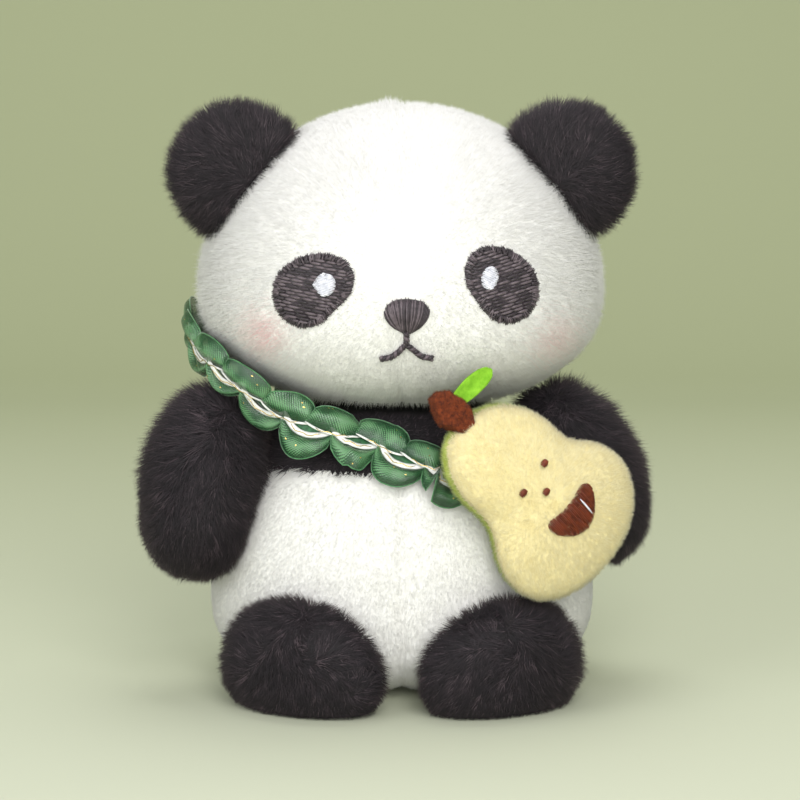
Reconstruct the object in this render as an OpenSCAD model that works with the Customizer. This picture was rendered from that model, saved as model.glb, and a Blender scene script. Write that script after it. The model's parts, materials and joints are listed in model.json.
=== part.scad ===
// Small standing plush panda with a cross-body ribbon strap and a stuffed pear half.
// Millimetres, +Z up, the face looks along -Y, X = 0 is the centre seam.
// Origin: centre of the flat base, on the surface that the toy stands on.

/* [Head] */
// Width of the head across the cheeks
head_w = 103; // [98:1:106]
// Depth of the head from face to back
head_d = 78; // [74:1:80]
// Height of the crown above the cheek line
crown_h = 48; // [44:1:50]
// Depth of the chin below the cheek line
chin_h = 29; // [26:0.5:29.5]
// Height of the cheek line above the base
cheek_z = 101; // [101:1:104]

/* [Torso] */
// Width of the belly
belly_w = 101; // [96:1:102]
// Depth of the belly from front to back
belly_d = 81; // [76:1:82]
// Height of the widest level of the belly
belly_z = 24; // [23:0.5:24]
// Height of the flat neck top
neck_z = 71; // [69:0.5:71]
// Height of the seam between the belly and the dark yoke
yoke_z = 57.5; // [55:0.5:60]

/* [Ears] */
// Radius of an ear
ear_r = 17; // [15:0.1:17.5]
// Thickness of an ear
ear_t = 12.5; // [9:0.5:14]
// Distance of an ear's centre from the centre seam
ear_x = 41.5; // [40:0.5:43]
// Place of an ear from front to back
ear_y = -7; // [-9:0.5:3]
// Height of an ear's centre
ear_z = 132; // [130:0.5:134]

/* [Arms] */
// Length of an arm from shoulder to hand
arm_len = 48; // [46:1:52]
// Width of an arm seen from the side
arm_w = 31; // [28:1:32]
// Thickness of an arm away from the body
arm_t = 29; // [26:1:30]

/* [Feet] */
// Width of a foot
foot_w = 42; // [36:1:43]
// Height of a foot
foot_h = 27; // [24:0.5:27.5]
// Reach of a foot in front of its centre
foot_reach = 11.5; // [10.5:0.5:13.5]

/* [Pear] */
// Width of the pear across its wide end
pear_w = 45; // [42:0.5:46]
// Thickness of the pear
pear_t = 15; // [12:0.5:15.5]

/* [Strap] */
// Spacing of the ribbon puffs along the strap
puff_step = 6.5; // [6.3:0.1:8]
// Radius of the cord in the middle of the strap
cord_r = 0.7; // [0.5:0.05:0.8]

/* [Sewing] */
// Thickness of the plush backing cloth
cloth = 1.2; // [0.8:0.1:1.5]
// Height of the embroidered patches above the cloth
thread_h = 0.8; // [0.5:0.1:1]

/* [Hidden] */

WHITE = "whitesmoke";
DARK = "#3a2c31";
FILL = "ivory";
THREAD = "#4a3f44";
PEAR_YELLOW = "khaki";
PEAR_GREEN = "yellowgreen";
BROWN = "saddlebrown";
RIBBON = "seagreen";
CORD = "silver";

fill_gap = 0.5;    // between a cover and its stuffing
skin_gap = 0.1;    // between two pieces of one body that lie on each other
base_r = 16.5;     // flat round base panel

// ---- Points and faces ----

// Power that keeps the sign, for rounded-box curves
function spow(v, e) = sign(v) * pow(abs(v), e);

// Number of points in the first i rows
function points_before(rows, i) = i == 0 ? 0 : points_before(rows, i - 1) + len(rows[i - 1]);

// Point numbers of each row, counted from first
function row_ids(rows, first = 0) =
    [for (i = [0:len(rows) - 1])
        let (s = first + points_before(rows, i)) [for (k = [0:len(rows[i]) - 1]) s + k]];

// Triangles between two rows of point numbers; a row with one point is a pole
function strip(a, b, wrap) =
    let (n = max(len(a), len(b)))
    [for (i = [0:n - (wrap ? 1 : 2)])
        let (j = (i + 1) % n,
             a0 = a[min(i, len(a) - 1)], a1 = a[min(j, len(a) - 1)],
             b0 = b[min(i, len(b) - 1)], b1 = b[min(j, len(b) - 1)])
        each [if (a0 != a1) [a0, a1, b1], if (b0 != b1) [a0, b1, b0]]];

function strips(ids, wrap) = [for (i = [0:len(ids) - 2]) each strip(ids[i], ids[i + 1], wrap)];
function turned(faces) = [for (f = faces) [f[2], f[1], f[0]]];
function flat_list(rows) = [for (r = rows) each r];

// Closed solid from rows that begin and end with a pole
module solid_of(rows) {
    polyhedron(points = flat_list(rows), faces = turned(strips(row_ids(rows), true)));
}

// Cloth panel between an outer and an inner set of rows of the same shape
module panel(outer, inner, wrap = false) {
    o = row_ids(outer);
    n = row_ids(inner, points_before(outer, len(outer)));
    last = len(outer) - 1;
    side = len(outer[floor(last / 2)]) - 1;
    o_first = [for (r = o) r[0]];
    n_first = [for (r = n) r[0]];
    o_last = [for (r = o) r[min(side, len(r) - 1)]];
    n_last = [for (r = n) r[min(side, len(r) - 1)]];
    faces = concat(
        strips(o, wrap),
        turned(strips(n, wrap)),
        len(o[0]) > 1 ? turned(strip(o[0], n[0], wrap)) : [],
        len(o[last]) > 1 ? strip(o[last], n[last], wrap) : [],
        wrap ? [] : strip(o_first, n_first, false),
        wrap ? [] : turned(strip(o_last, n_last, false)));
    polyhedron(points = concat(flat_list(outer), flat_list(inner)), faces = turned(faces));
}

// ---- Body forms: stacks of ellipses ----

// [half width, half depth, height above, depth below, upper power, lower power, widest level]
head_form = [head_w / 2, head_d / 2, crown_h, chin_h, 2, 2.3, cheek_z];
torso_form = [belly_w / 2, belly_d / 2, neck_z - belly_z + 5, belly_z + 0.5, 1.9, 3.5, belly_z];

// Size of the ellipse at height z, as a share of the widest one
function form_share(f, z, inset = 0) =
    let (up = z >= f[6], reach = (up ? f[2] : f[3]) - inset, n = up ? f[4] : f[5],
         d = min(1, abs(z - f[6]) / reach))
    pow(1 - pow(d, n), 1 / n);

// Point at height z and azimuth az, inset from the outer surface
function form_at(f, z, az, inset = 0) =
    let (s = form_share(f, z, inset))
    [(f[0] - inset) * s * cos(az), (f[1] - inset) * s * sin(az), z];

// Height at a tilt from -90, the bottom, to 90, the top
function form_level(f, tilt, inset = 0) =
    let (n = tilt >= 0 ? f[4] : f[5], reach = (tilt >= 0 ? f[2] : f[3]) - inset)
    f[6] + reach * spow(sin(tilt), 2 / n);

// Tilt that reaches height z
function form_tilt(f, z, inset = 0) =
    let (up = z >= f[6], n = up ? f[4] : f[5], reach = (up ? f[2] : f[3]) - inset)
    (up ? 1 : -1) * asin(pow(min(1, abs(z - f[6]) / reach), n / 2));

// Front of a form at x, z
function form_front(f, x, z, inset = 0) =
    let (s = form_share(f, z, inset), w = x / (f[0] - inset))
    -(f[1] - inset) * sqrt(max(0, s * s - w * w));

// Moves a point outside a form, level by level, by at least gap
function clear_of(f, p, gap) =
    let (s = form_share(f, p[2]),
         w = f[0] * s + gap, d = f[1] * s + gap,
         share = norm([p[0] / w, p[1] / d]))
    share >= 1 ? p : [p[0] / share, p[1] / share, p[2]];

// Rows of a form's panel from azimuth az0 to az1 and from tilt t0 to t1
function form_rows(f, az0, az1, t0, t1, nr, nc, inset) =
    [for (i = [0:nr])
        let (t = t0 + (t1 - t0) * i / nr, z = form_level(f, t, inset))
        abs(t) > 89.9 ? [[0, 0, z]]
            : [for (k = [0:nc]) form_at(f, z, az0 + (az1 - az0) * k / nc, inset)]];

// Panel of a form from height z0 to z1; its inner side starts at height z0_in
module form_panel(f, az0, az1, z0, z1, nr, nc, z0_in) {
    panel(form_rows(f, az0, az1, form_tilt(f, z0), form_tilt(f, z1), nr, nc, 0),
          form_rows(f, az0, az1, form_tilt(f, z0_in, cloth), form_tilt(f, z1, cloth), nr, nc, cloth));
}

// ---- Pods: egg shapes set on an axis, for limbs, ears and the tail ----

// [centre, side axis, depth axis, long axis, side, depth, length, taper, power]
function pod_at(p, tilt, turn, inset) =
    let (s = pow(max(0, cos(tilt)), 2 / p[8]) * (1 - p[7] * sin(tilt)))
    p[0] + (p[4] - inset) * s * cos(turn) * p[1]
         + (p[5] - inset) * s * sin(turn) * p[2]
         + (p[6] - inset) * spow(sin(tilt), 2 / p[8]) * p[3];

function pod_row(p, tilt, a0, a1, nc, inset) =
    abs(tilt) > 89.9 ? [pod_at(p, tilt, 0, inset)]
        : [for (k = [0:nc]) pod_at(p, tilt, a0 + (a1 - a0) * k / nc, inset)];

function unit(v) = v / norm(v);
function drop_last(v) = len(v) < 2 ? v : [for (i = [0:len(v) - 2]) v[i]];

// ---- Head ----

head_levels = 18;
quarter = 8;             // panels across a quarter turn

// One quarter of the head's cover, by its first azimuth
module head_quarter(az) {
    color(WHITE) panel(form_rows(head_form, az, az + 90, -90, 90, head_levels, quarter, 0),
                       form_rows(head_form, az, az + 90, -90, 90, head_levels, quarter, cloth));
}
module face_left() head_quarter(180);
module face_right() head_quarter(270);
module head_back_left() head_quarter(90);
module head_back_right() head_quarter(0);

module head_stuffing() {
    in = cloth + fill_gap;
    color(FILL) solid_of([for (r = form_rows(head_form, 0, 360, -90, 90, 12, 24, in)) drop_last(r)]);
}

// ---- Ears ----

function ear_pod(side) =
    [[side * ear_x, ear_y, ear_z], [1, 0, 0], [0, 0, -1], [0, -1, 0], ear_r, ear_r, ear_t / 2, 0, 2.6];

// The part of the ear inside the head is pushed out along rays from the head's middle
function clear_of_head(p, gap) =
    let (q = p - [0, 0, cheek_z],
         s = norm([q[0] / (head_form[0] + gap), q[1] / (head_form[1] + gap),
                   q[2] / (head_form[2] + gap)]))
    s >= 1 ? p : p / s + [0, 0, cheek_z * (1 - 1 / s)];

function ear_rows(side, t0, t1, nr, inset) =
    [for (i = [0:nr])
        let (r = pod_row(ear_pod(side), t0 + (t1 - t0) * i / nr, 0, 360, 20, inset))
        [for (p = len(r) > 1 ? drop_last(r) : r) clear_of_head(p, skin_gap + inset)]];

module ear_panel(side, t0, t1) {
    color(DARK) panel(ear_rows(side, t0, t1, 4, 0), ear_rows(side, t0, t1, 4, cloth), wrap = true);
}
module ear_stuffing(side) color(FILL) solid_of(ear_rows(side, -90, 90, 8, cloth + fill_gap));

module ear_left_front() ear_panel(-1, 0, 90);
module ear_left_back() ear_panel(-1, -90, 0);
module ear_left_stuffing() ear_stuffing(-1);
module ear_right_front() ear_panel(1, 0, 90);
module ear_right_back() ear_panel(1, -90, 0);
module ear_right_stuffing() ear_stuffing(1);

// ---- Embroidery on the face ----

// Egg outline: centre [x, z], long and short half axes, lean of the long axis, and bulge
function egg(c, long, short, lean, bulge, n) =
    [for (i = [0:n - 1])
        let (a = 360 * i / n, u = long * cos(a), v = short * sin(a) * (1 + bulge * cos(a)))
        [c[0] + u * cos(lean) - v * sin(lean), c[1] + u * sin(lean) + v * cos(lean)]];

// Rounded triangle that points down
function rounded_triangle(c, w, h, n) =
    [for (i = [0:n - 1])
        let (a = 360 * i / n, r = 1 - 0.1 * sin(3 * a))
        [c[0] + w / 2 * r * cos(a), c[1] + h / 2 * r * sin(a)]];

// Thread pad on the face: an outline laid on the head's front, from height h0 to h1
module face_pad(outline, middle, h0, h1) {
    function laid(k, h) =
        [for (p = outline)
            let (q = middle + k * (p - middle)) [q[0], form_front(head_form, q[0], q[1], -h), q[1]]];
    function centre(h) = [[middle[0], form_front(head_form, middle[0], middle[1], -h), middle[1]]];
    rows = [centre(h0), laid(0.5, h0), laid(1, h0), laid(1, h1), laid(0.5, h1), centre(h1)];
    solid_of(rows);
}

pad_low = skin_gap;
pad_high = pad_low + thread_h;
eye_left_c = [-21.6, 105];
eye_right_c = [24.3, 106.2];

module eye_patch_left()
    color(THREAD) face_pad(egg(eye_left_c, 11.3, 9, 32, -0.1, 24), eye_left_c, pad_low, pad_high);
module eye_patch_right()
    color(THREAD) face_pad(egg(eye_right_c, 11, 8.8, -50, 0.1, 24), eye_right_c, pad_low, pad_high);

highlight_left_c = [-18.7, 106.5];
highlight_right_c = [21.4, 108];
module highlight(c, w, h) {
    low = pad_high + skin_gap / 2;
    color(WHITE) face_pad(egg(c, w, h, 80, 0, 12), c, low, low + thread_h / 2);
}
module eye_highlight_left() highlight(highlight_left_c, 2.9, 2.6);
module eye_highlight_right() highlight(highlight_right_c, 2.9, 2.1);

nose_c = [1.2, 99.4];
module nose_embroidery()
    color(THREAD) face_pad(rounded_triangle(nose_c, 11.2, 9.6, 24), nose_c, pad_low, pad_high);

// Stitched mouth line: one stem below the nose and two legs
stitch_r = 0.6;
mouth_top = [1.2, 94];
mouth_fork = [1.2, 91.6];
mouth_left_end = [-5.4, 88];
mouth_right_end = [7.7, 88.4];

function on_face(p, h) = [p[0], form_front(head_form, p[0], p[1], -h), p[1]];

// Ring of n points around c in the plane across direction d
function ring(c, d, r, n, up = [0, 0, 1]) =
    let (a = unit(cross(d, up)), b = unit(cross(a, d)))
    [for (i = [0:n - 1]) c + r * cos(360 * i / n) * a + r * sin(360 * i / n) * b];

// Round tube along a list of points
function tube_rows(path, r, n) =
    let (last = len(path) - 1)
    concat([[path[0]]],
           [for (i = [0:last])
               ring(path[i], unit(path[min(i + 1, last)] - path[max(i - 1, 0)]), r, n)],
           [[path[last]]]);

module stitch(a, b) {
    steps = 4;
    solid_of(tube_rows([for (i = [0:steps])
        on_face(a + (b - a) * i / steps, skin_gap + 2 * stitch_r)], stitch_r, 6));
}
module mouth_embroidery() color(THREAD) {
    stitch(mouth_top, mouth_fork);
    stitch(mouth_fork + [-1, -0.7], mouth_left_end);
    stitch(mouth_fork + [1, -0.7], mouth_right_end);
}

// ---- Torso ----

// Height at which the inside of the belly cloth reaches the edge of the base panel
base_share = (base_r + 2 * skin_gap) / (torso_form[1] - cloth);
belly_in_z = belly_z - (torso_form[3] - cloth) * pow(1 - pow(base_share, torso_form[5]), 1 / torso_form[5]);

module chest_yoke() color(DARK) form_panel(torso_form, 180, 360, yoke_z, neck_z, 3, 2 * quarter, yoke_z);
module back_yoke() color(DARK) form_panel(torso_form, 0, 180, yoke_z, neck_z, 3, 2 * quarter, yoke_z);

// One quarter of the torso's cover below the yoke
module torso_quarter(az)
    color(WHITE) form_panel(torso_form, az, az + 90, 0, yoke_z, 8, quarter, belly_in_z);
module belly_left() torso_quarter(180);
module belly_right() torso_quarter(270);
module back_left() torso_quarter(90);
module back_right() torso_quarter(0);

// Round base panel, the face that the toy stands on
module base_panel() color(WHITE) cylinder(r = base_r, h = cloth, $fn = 96);

module torso_stuffing() {
    in = cloth + fill_gap;
    z0 = cloth + 2 * fill_gap;
    z1 = neck_z - fill_gap;
    body = form_rows(torso_form, 0, 360, form_tilt(torso_form, z0, in),
                     form_tilt(torso_form, z1, in), 11, 24, in);
    color(FILL) solid_of(concat([[[0, 0, z0]]], [for (r = body) drop_last(r)], [[[0, 0, z1]]]));
}

// ---- Arms ----

// Middle, long axis and outward turn of each arm: the right one is held back by the pear
arm_left_mid = [-51, -14, 52.5];
arm_left_axis = unit([7, 15, 47]);
arm_left_facing = 200;
arm_right_mid = [46.5, -2, 53];
arm_right_axis = unit([-19, 6, 45]);
arm_right_facing = -4;
arm_left_gap = 1;       // to the torso
arm_right_gap = 3.4;    // to the torso, with the strap between them

function arm_pod(mid, axis, facing) =
    let (side = unit(cross(axis, [cos(facing), sin(facing), 0])), out = cross(side, axis))
    [mid, side, out, axis, arm_w / 2, arm_t / 2, arm_len / 2, 0.1, 2.25];

function arm_rows(pod, gap, a0, a1, nr, nc, inset) =
    [for (i = [0:nr])
        let (r = pod_row(pod, 90 - 180 * i / nr, a0, a1, nc, inset))
        [for (p = r) clear_of(torso_form, p, gap + inset)]];

module arm_panel(pod, gap, a0, a1) {
    color(DARK) panel(arm_rows(pod, gap, a1, a0, 9, 8, 0), arm_rows(pod, gap, a1, a0, 9, 8, cloth));
}
module arm_stuffing(pod, gap) {
    rows = arm_rows(pod, gap + fill_gap, 360, 0, 9, 16, cloth + fill_gap);
    color(FILL) solid_of([for (r = rows) drop_last(r)]);
}
left_arm = arm_pod(arm_left_mid, arm_left_axis, arm_left_facing);
right_arm = arm_pod(arm_right_mid, arm_right_axis, arm_right_facing);

module arm_left_outer() arm_panel(left_arm, arm_left_gap, 0, 180);
module arm_left_inner() arm_panel(left_arm, arm_left_gap, 180, 360);
module arm_left_stuffing() arm_stuffing(left_arm, arm_left_gap);
module arm_right_outer() arm_panel(right_arm, arm_right_gap, 0, 180);
module arm_right_inner() arm_panel(right_arm, arm_right_gap, 180, 360);
module arm_right_stuffing() arm_stuffing(right_arm, arm_right_gap);

// ---- Feet ----

foot_turn = 24;          // outward turn of the flat back of a foot
foot_back = 43.9;        // distance of that back from the torso's axis
foot_depth = 3;          // from the back to the foot's middle
foot_mid_z = 10;
foot_side = 6;           // place of the foot's middle along its back plane
foot_slope = 0.22;       // drop of the inner end, as a share of the height

function foot_out(side) = [side * sin(foot_turn), -cos(foot_turn), 0];
function foot_along(side) = [side * cos(foot_turn), sin(foot_turn), 0];
function foot_pod(side) =
    [(foot_back + foot_depth) * foot_out(side) + foot_side * foot_along(side) + [0, 0, foot_mid_z],
     side * foot_along(side), foot_out(side), [0, 0, 1],
     foot_w / 2, foot_reach, foot_h - foot_mid_z, 0, 2.4];

// Lowers a foot towards its inner end
function foot_low(p, side) =
    let (inner = max(0, (foot_side - p * foot_along(side)) / (foot_w / 2)))
    [p[0], p[1], p[2] * (1 - foot_slope * pow(inner, 1.5))];

// Flattens a point against the floor and against the foot's back plane
function foot_clip(p, side, inset) =
    let (short = max(0, foot_back + inset - p * foot_out(side)))
    [p[0] + short * foot_out(side)[0], p[1] + short * foot_out(side)[1], max(0, p[2])];

function foot_rows(side, inset, floor_z, nr, nc) =
    let (pod = foot_pod(side), drop = (foot_mid_z - floor_z) / (pod[6] - inset),
         t0 = -asin(pow(drop, pod[8] / 2)))
    [for (i = [0:nr])
        let (r = pod_row(pod, t0 + (90 - t0) * i / nr, 0, 360, nc, inset))
        [for (p = len(r) > 1 ? drop_last(r) : r) foot_low(foot_clip(p, side, inset), side)]];

module foot_upper(side)
    color(DARK) panel(foot_rows(side, 0, 0, 6, 20), foot_rows(side, cloth, 0, 6, 20), wrap = true);
module foot_sole(side) {
    edge = foot_rows(side, cloth + skin_gap, 0, 6, 20)[0];
    color(DARK) linear_extrude(cloth) polygon([for (p = edge) [p[0], p[1]]]);
}
module foot_stuffing(side) {
    z0 = cloth + fill_gap;
    rows = foot_rows(side, cloth + fill_gap, z0, 6, 16);
    c = foot_pod(side)[0];
    color(FILL) solid_of(concat([[[c[0], c[1], z0]]], rows));
}
module foot_left_upper() foot_upper(-1);
module foot_left_sole() foot_sole(-1);
module foot_left_stuffing() foot_stuffing(-1);
module foot_right_upper() foot_upper(1);
module foot_right_sole() foot_sole(1);
module foot_right_stuffing() foot_stuffing(1);

// ---- Tail: a small round tuft low on the back ----

tail_r = 9.5;
tail_z = 20;
tail_pod = [[0, belly_d / 2 + 3.5, tail_z], [1, 0, 0], [0, 0, 1], [0, 1, 0], tail_r, tail_r, 8, 0, 2.1];
tail_open = -20;         // tilt of the open edge that is sewn to the back

function tail_rows(t0, inset, nr, nc) =
    [for (i = [0:nr])
        let (r = pod_row(tail_pod, t0 + (90 - t0) * i / nr, 360, 0, nc, inset))
        [for (p = len(r) > 1 ? drop_last(r) : r) clear_of(torso_form, p, skin_gap)]];

module tail_cover()
    color(WHITE) panel(tail_rows(tail_open, 0, 5, 14), tail_rows(tail_open, cloth, 5, 14), wrap = true);
module tail_stuffing() {
    rows = tail_rows(tail_open, cloth + fill_gap, 4, 12);
    back = clear_of(torso_form, [0, belly_d / 4, tail_z], fill_gap);
    color(FILL) solid_of(concat([[back]], rows));
}

// ---- Pear ----

pear_at = [41.4, -34.6, 45.9];    // middle of the wide lobe
pear_yaw = 25;                  // it faces a little to the right
pear_lean = 13;                 // its top leans back to the chest
pear_tilt = 41;                 // lean of its long axis towards the strap
pear_mid = [0, 7.5];

// Reach of the rim from the pear's middle, every rim_step degrees from its right side
rim_step = 12;
rim_reach = [21.2, 18.8, 17.1, 17.6, 20.6, 23.9, 26.8, 29, 30.5, 30.3, 27.6, 23.4, 19.1, 17.8, 18.5,
             20.6, 22.8, 24.2, 24.7, 24.2, 23.3, 22.6, 22.2, 22.3, 22.8, 23.5, 24.1, 24.4, 24.4, 23.2];
rim_w = 45;                     // width across the wide end at these reaches
pear_share = pear_w / rim_w;

function arc(c, r, a0, a1, n) =
    [for (i = [0:n]) let (a = a0 + (a1 - a0) * i / n) c + r * [cos(a), sin(a)]];

// Outline of the pear, anticlockwise, with its axis along +Y
pear_outline = [for (i = [0:len(rim_reach) - 1])
    pear_mid + pear_share * rim_reach[i] * [cos(i * rim_step), sin(i * rim_step)]];
pear_top = pear_mid[1] + pear_share * rim_reach[8];

pillow_power = 0.8;      // roundness of the pear's rim

// Rows of a pillow from its seam to its middle; up is 1 for the front and -1 for the back
function pillow_rows(up, inset, nr) =
    [for (i = [0:nr])
        let (a = 90 * i / nr, z = up * (pear_t / 2 - inset) * pow(sin(a), pillow_power))
        i == nr ? [[pear_mid[0], pear_mid[1], z]]
            : [for (p = pear_outline)
                let (reach = norm(p - pear_mid), q = pear_mid + (p - pear_mid) * cos(a) * (1 - inset / reach))
                [q[0], q[1], z]]];

module on_pear() {
    translate(pear_at) rotate([0, 0, pear_yaw]) rotate([90 - pear_lean, 0, 0])
        rotate([0, 0, pear_tilt]) children();
}
function reversed(rows) = [for (r = rows) [for (i = [len(r) - 1:-1:0]) r[i]]];

module pear_front()
    color(PEAR_YELLOW) on_pear() panel(pillow_rows(1, 0, 4), pillow_rows(1, cloth, 4), wrap = true);
module pear_back()
    color(PEAR_GREEN) on_pear()
        panel(reversed(pillow_rows(-1, 0, 4)), reversed(pillow_rows(-1, cloth, 4)), wrap = true);
module pear_stuffing() {
    in = cloth + fill_gap;
    low = pillow_rows(-1, in, 3);
    high = pillow_rows(1, in, 3);
    color(FILL) on_pear() solid_of(concat([for (i = [3:-1:1]) low[i]], high));
}

// Distance of the outline from the pear's middle, by direction
pear_reach = [for (p = pear_outline) let (q = p - pear_mid) [atan2(q[0], -q[1]), norm(q)]];

// Height of the pear's front above its middle plane
function pear_height(p) =
    let (q = p - pear_mid, k = norm(q) / lookup(atan2(q[0], -q[1]), pear_reach))
    pear_t / 2 * pow(sin(acos(min(1, k))), pillow_power);

// Felt stem: a six-sided stub on the narrow end
stem_w = 8.6;
stem_len = 11;
module pear_stem() {
    y0 = pear_top + skin_gap;
    w = stem_w / 2;
    bevel = 2.6;
    color(BROWN) on_pear() translate([-2.7, y0, -2.2]) linear_extrude(4.4)
        polygon([[-w + bevel, 0], [w - bevel, 0], [w, bevel + 1], [w - 1, stem_len - 2],
                 [w - bevel - 1, stem_len], [-w + bevel, stem_len], [-w, stem_len / 2]]);
}

// Leaf: a lens of two arcs beside the stem
leaf_len = 13;
leaf_w = 4.6;
module pear_leaf() {
    r = (leaf_len * leaf_len / 4 + leaf_w * leaf_w / 4) / leaf_w;
    half = asin(leaf_len / 2 / r);
    outline = concat(arc([leaf_w / 2 - r, 0], r, -half, half, 8),
                     arc([r - leaf_w / 2, 0], r, 180 - half, 180 + half, 8));
    color("limegreen") on_pear() translate([6.9, pear_top + 4.7, 2.6])
        rotate([0, 0, -96]) linear_extrude(0.9)
            polygon([for (i = [0:len(outline) - 2]) if (i != 8) outline[i]]);
}

// Three stitched seeds, placed across the pear's upper middle
seed_r = 1.3;
seed_at = [[3.5, 17.4], [-5.8, 16.6], [-1.4, 12.4]];
module pear_seeds() color(BROWN) on_pear()
    for (p = seed_at) translate([p[0], p[1], pear_height(p) + 0.25])
        cylinder(r = seed_r, h = thread_h, $fn = 24);

// Satin-stitched bean shape below the seeds
core_at = [0.5, 3.5];
core_w = 15;
core_h = 7.6;
core_end_r = 2.1;
module pear_core() {
    x = core_w / 2 - core_end_r;
    sag = core_h - 2 * core_end_r - 1.2;
    low_r = (x * x + sag * sag) / (2 * sag);
    low_half = asin(x / low_r);
    bean = concat(arc([0, low_r - sag], low_r + core_end_r, 270 - low_half, 270 + low_half, 8),
                  arc([x, 0], core_end_r, 0, 110, 4),
                  arc([-x, 0], core_end_r, 70, 180, 4));
    color(BROWN) on_pear() translate([core_at[0], core_at[1], pear_t / 2 + skin_gap])
        linear_extrude(thread_h) polygon(bean);
}

// Round ribbon tab on the pear's back that the strap ends are tied to
tab_at = [-3.5, 12.5];
tab_r = 3.2;
tab_t = 0.8;
module pear_tab() color(RIBBON) on_pear()
    translate([tab_at[0], tab_at[1], -pear_t / 2 - skin_gap - tab_t]) cylinder(r = tab_r, h = tab_t, $fn = 48);

// ---- Strap ----

// Stretches that lie on the torso: [azimuth, height, distance from the torso]
chest_run = [[-50, 52, 1.5], [-58, 54, 2.1], [-68, 56.5, 3], [-79, 59.5, 3.4], [-91, 62.5, 3.4],
             [-103, 65.2, 3.4]];
back_run = [[108, 63, 3.6], [96, 59, 3.4], [82, 55.5, 3.4], [67, 53, 3.2],
            [52, 51, 3], [37, 50, 2.2], [24, 49.5, 1.4]];
armpit_run = [[8, 49.5, 1.3], [-8, 49.5, 1.3], [-22, 49.2, 1.4], [-34, 48.8, 1.5], [-45, 48.5, 1.5]];
// Free stretch over the shoulder, beside the cheek and behind the head
shoulder_run = [[-19.5, -27, 68.4], [-29.5, -23.5, 72], [-38.5, -21.5, 78], [-46, -17.2, 83.4],
                [-52, -7.5, 87], [-55, 4, 91.5], [-54, 15, 91], [-49, 24, 86],
                [-41, 30, 79.5], [-31, 32, 73], [-20, 30.5, 68]];

function on_torso(p) = clear_of(torso_form, 0.5 * form_at(torso_form, p[1], p[0]) + [0, 0, p[1] / 2], p[2]);
strap_points = concat([for (p = chest_run) on_torso(p)], shoulder_run,
                      [for (p = back_run) on_torso(p)], [for (p = armpit_run) on_torso(p)]);

// Smooth curve through the strap's points
function curve_at(pts, t) =
    let (n = len(pts) - 1, i = min(floor(t), n - 1), u = t - i,
         a = pts[max(i - 1, 0)], b = pts[i], c = pts[i + 1], d = pts[min(i + 2, n)])
    0.5 * (2 * b + (c - a) * u + (2 * a - 5 * b + 4 * c - d) * u * u
           + (3 * b - a - 3 * c + d) * u * u * u);
curve_steps = 3;
strap_curve = [for (i = [0:(len(strap_points) - 1) * curve_steps])
    curve_at(strap_points, i / curve_steps)];

// Distance along the strap at each curve point
function run_lengths(pts, i = 0, sum = 0, out = []) =
    i == len(pts) ? out
        : let (s = i == 0 ? 0 : sum + norm(pts[i] - pts[i - 1])) run_lengths(pts, i + 1, s, concat(out, [s]));
strap_run = run_lengths(strap_curve);
strap_len = strap_run[len(strap_run) - 1];
function strap_at(s) =
    [for (k = [0:2]) lookup(s, [for (i = [0:len(strap_run) - 1]) [strap_run[i], strap_curve[i][k]]])];

// Direction square to a form's surface at a point near it
function form_out(f, p) =
    let (slope = form_share(f, p[2] + 0.5) - form_share(f, p[2] - 0.5))
    unit([p[0] / pow(f[0], 2), p[1] / pow(f[1], 2), -form_share(f, p[2]) * slope]);

// Outward direction of the strap: square to the torso, and level above the shoulder
free_low = 66;
free_high = 74;
function strap_out(p) =
    let (w = max(0, min(1, (p[2] - free_low) / (free_high - free_low))))
    unit((1 - w) * form_out(torso_form, [p[0], p[1], min(p[2], free_low)]) + w * unit([p[0], 1.3 * p[1], 0]));

// One puff of ribbon beside the cord: middle, along, across, out, half sizes
puff_tilt = 32;          // tilt of a puff's two inner rows
function puff_rows(c, along, across, out, size) =
    [for (t = [-90, -puff_tilt, puff_tilt, 90])
        let (mid = c + size[0] * sin(t) * along, s = 1.1 * cos(t))
        abs(t) == 90 ? [mid]
            : [for (a = [0:60:300]) mid + size[1] * s * cos(a) * across + size[2] * s * sin(a) * out]];

puff_start = 0.7;        // first puff, in steps from the strap's end
puff_clear = 0.35;       // between the cord and a puff
puff_loose = [0.9 * puff_step, 2.6, 1.7];
puff_pressed = [0.9 * puff_step, 2.2, 0.6];
puff_count = floor(strap_len / puff_step) - 1;
puff_split = 16;
// The ribbon is pressed flat behind the pear, and between the right arm and the torso
pear_to = 13;
arm_from = strap_len - 52;

module puffs(first, last) {
    color(RIBBON) for (i = [first:last]) {
        s = (i + puff_start) * puff_step;
        c = strap_at(s);
        along = unit(strap_at(s + 2) - strap_at(s - 2));
        across = unit(cross(strap_out(c), along)) * (i % 2 == 0 ? 1 : -1);
        out = unit(cross(along, across));
        size = s < pear_to || s > arm_from ? puff_pressed : puff_loose;
        solid_of(puff_rows(c + (cord_r + puff_clear + size[1]) * across, along, across, out, size));
    }
}
module strap_ribbon_front() puffs(0, puff_split);
module strap_ribbon_back() puffs(puff_split + 1, puff_count);
module strap_cord() color(CORD) solid_of(tube_rows(strap_curve, cord_r, 6));

// ---- Assembly ----

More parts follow.
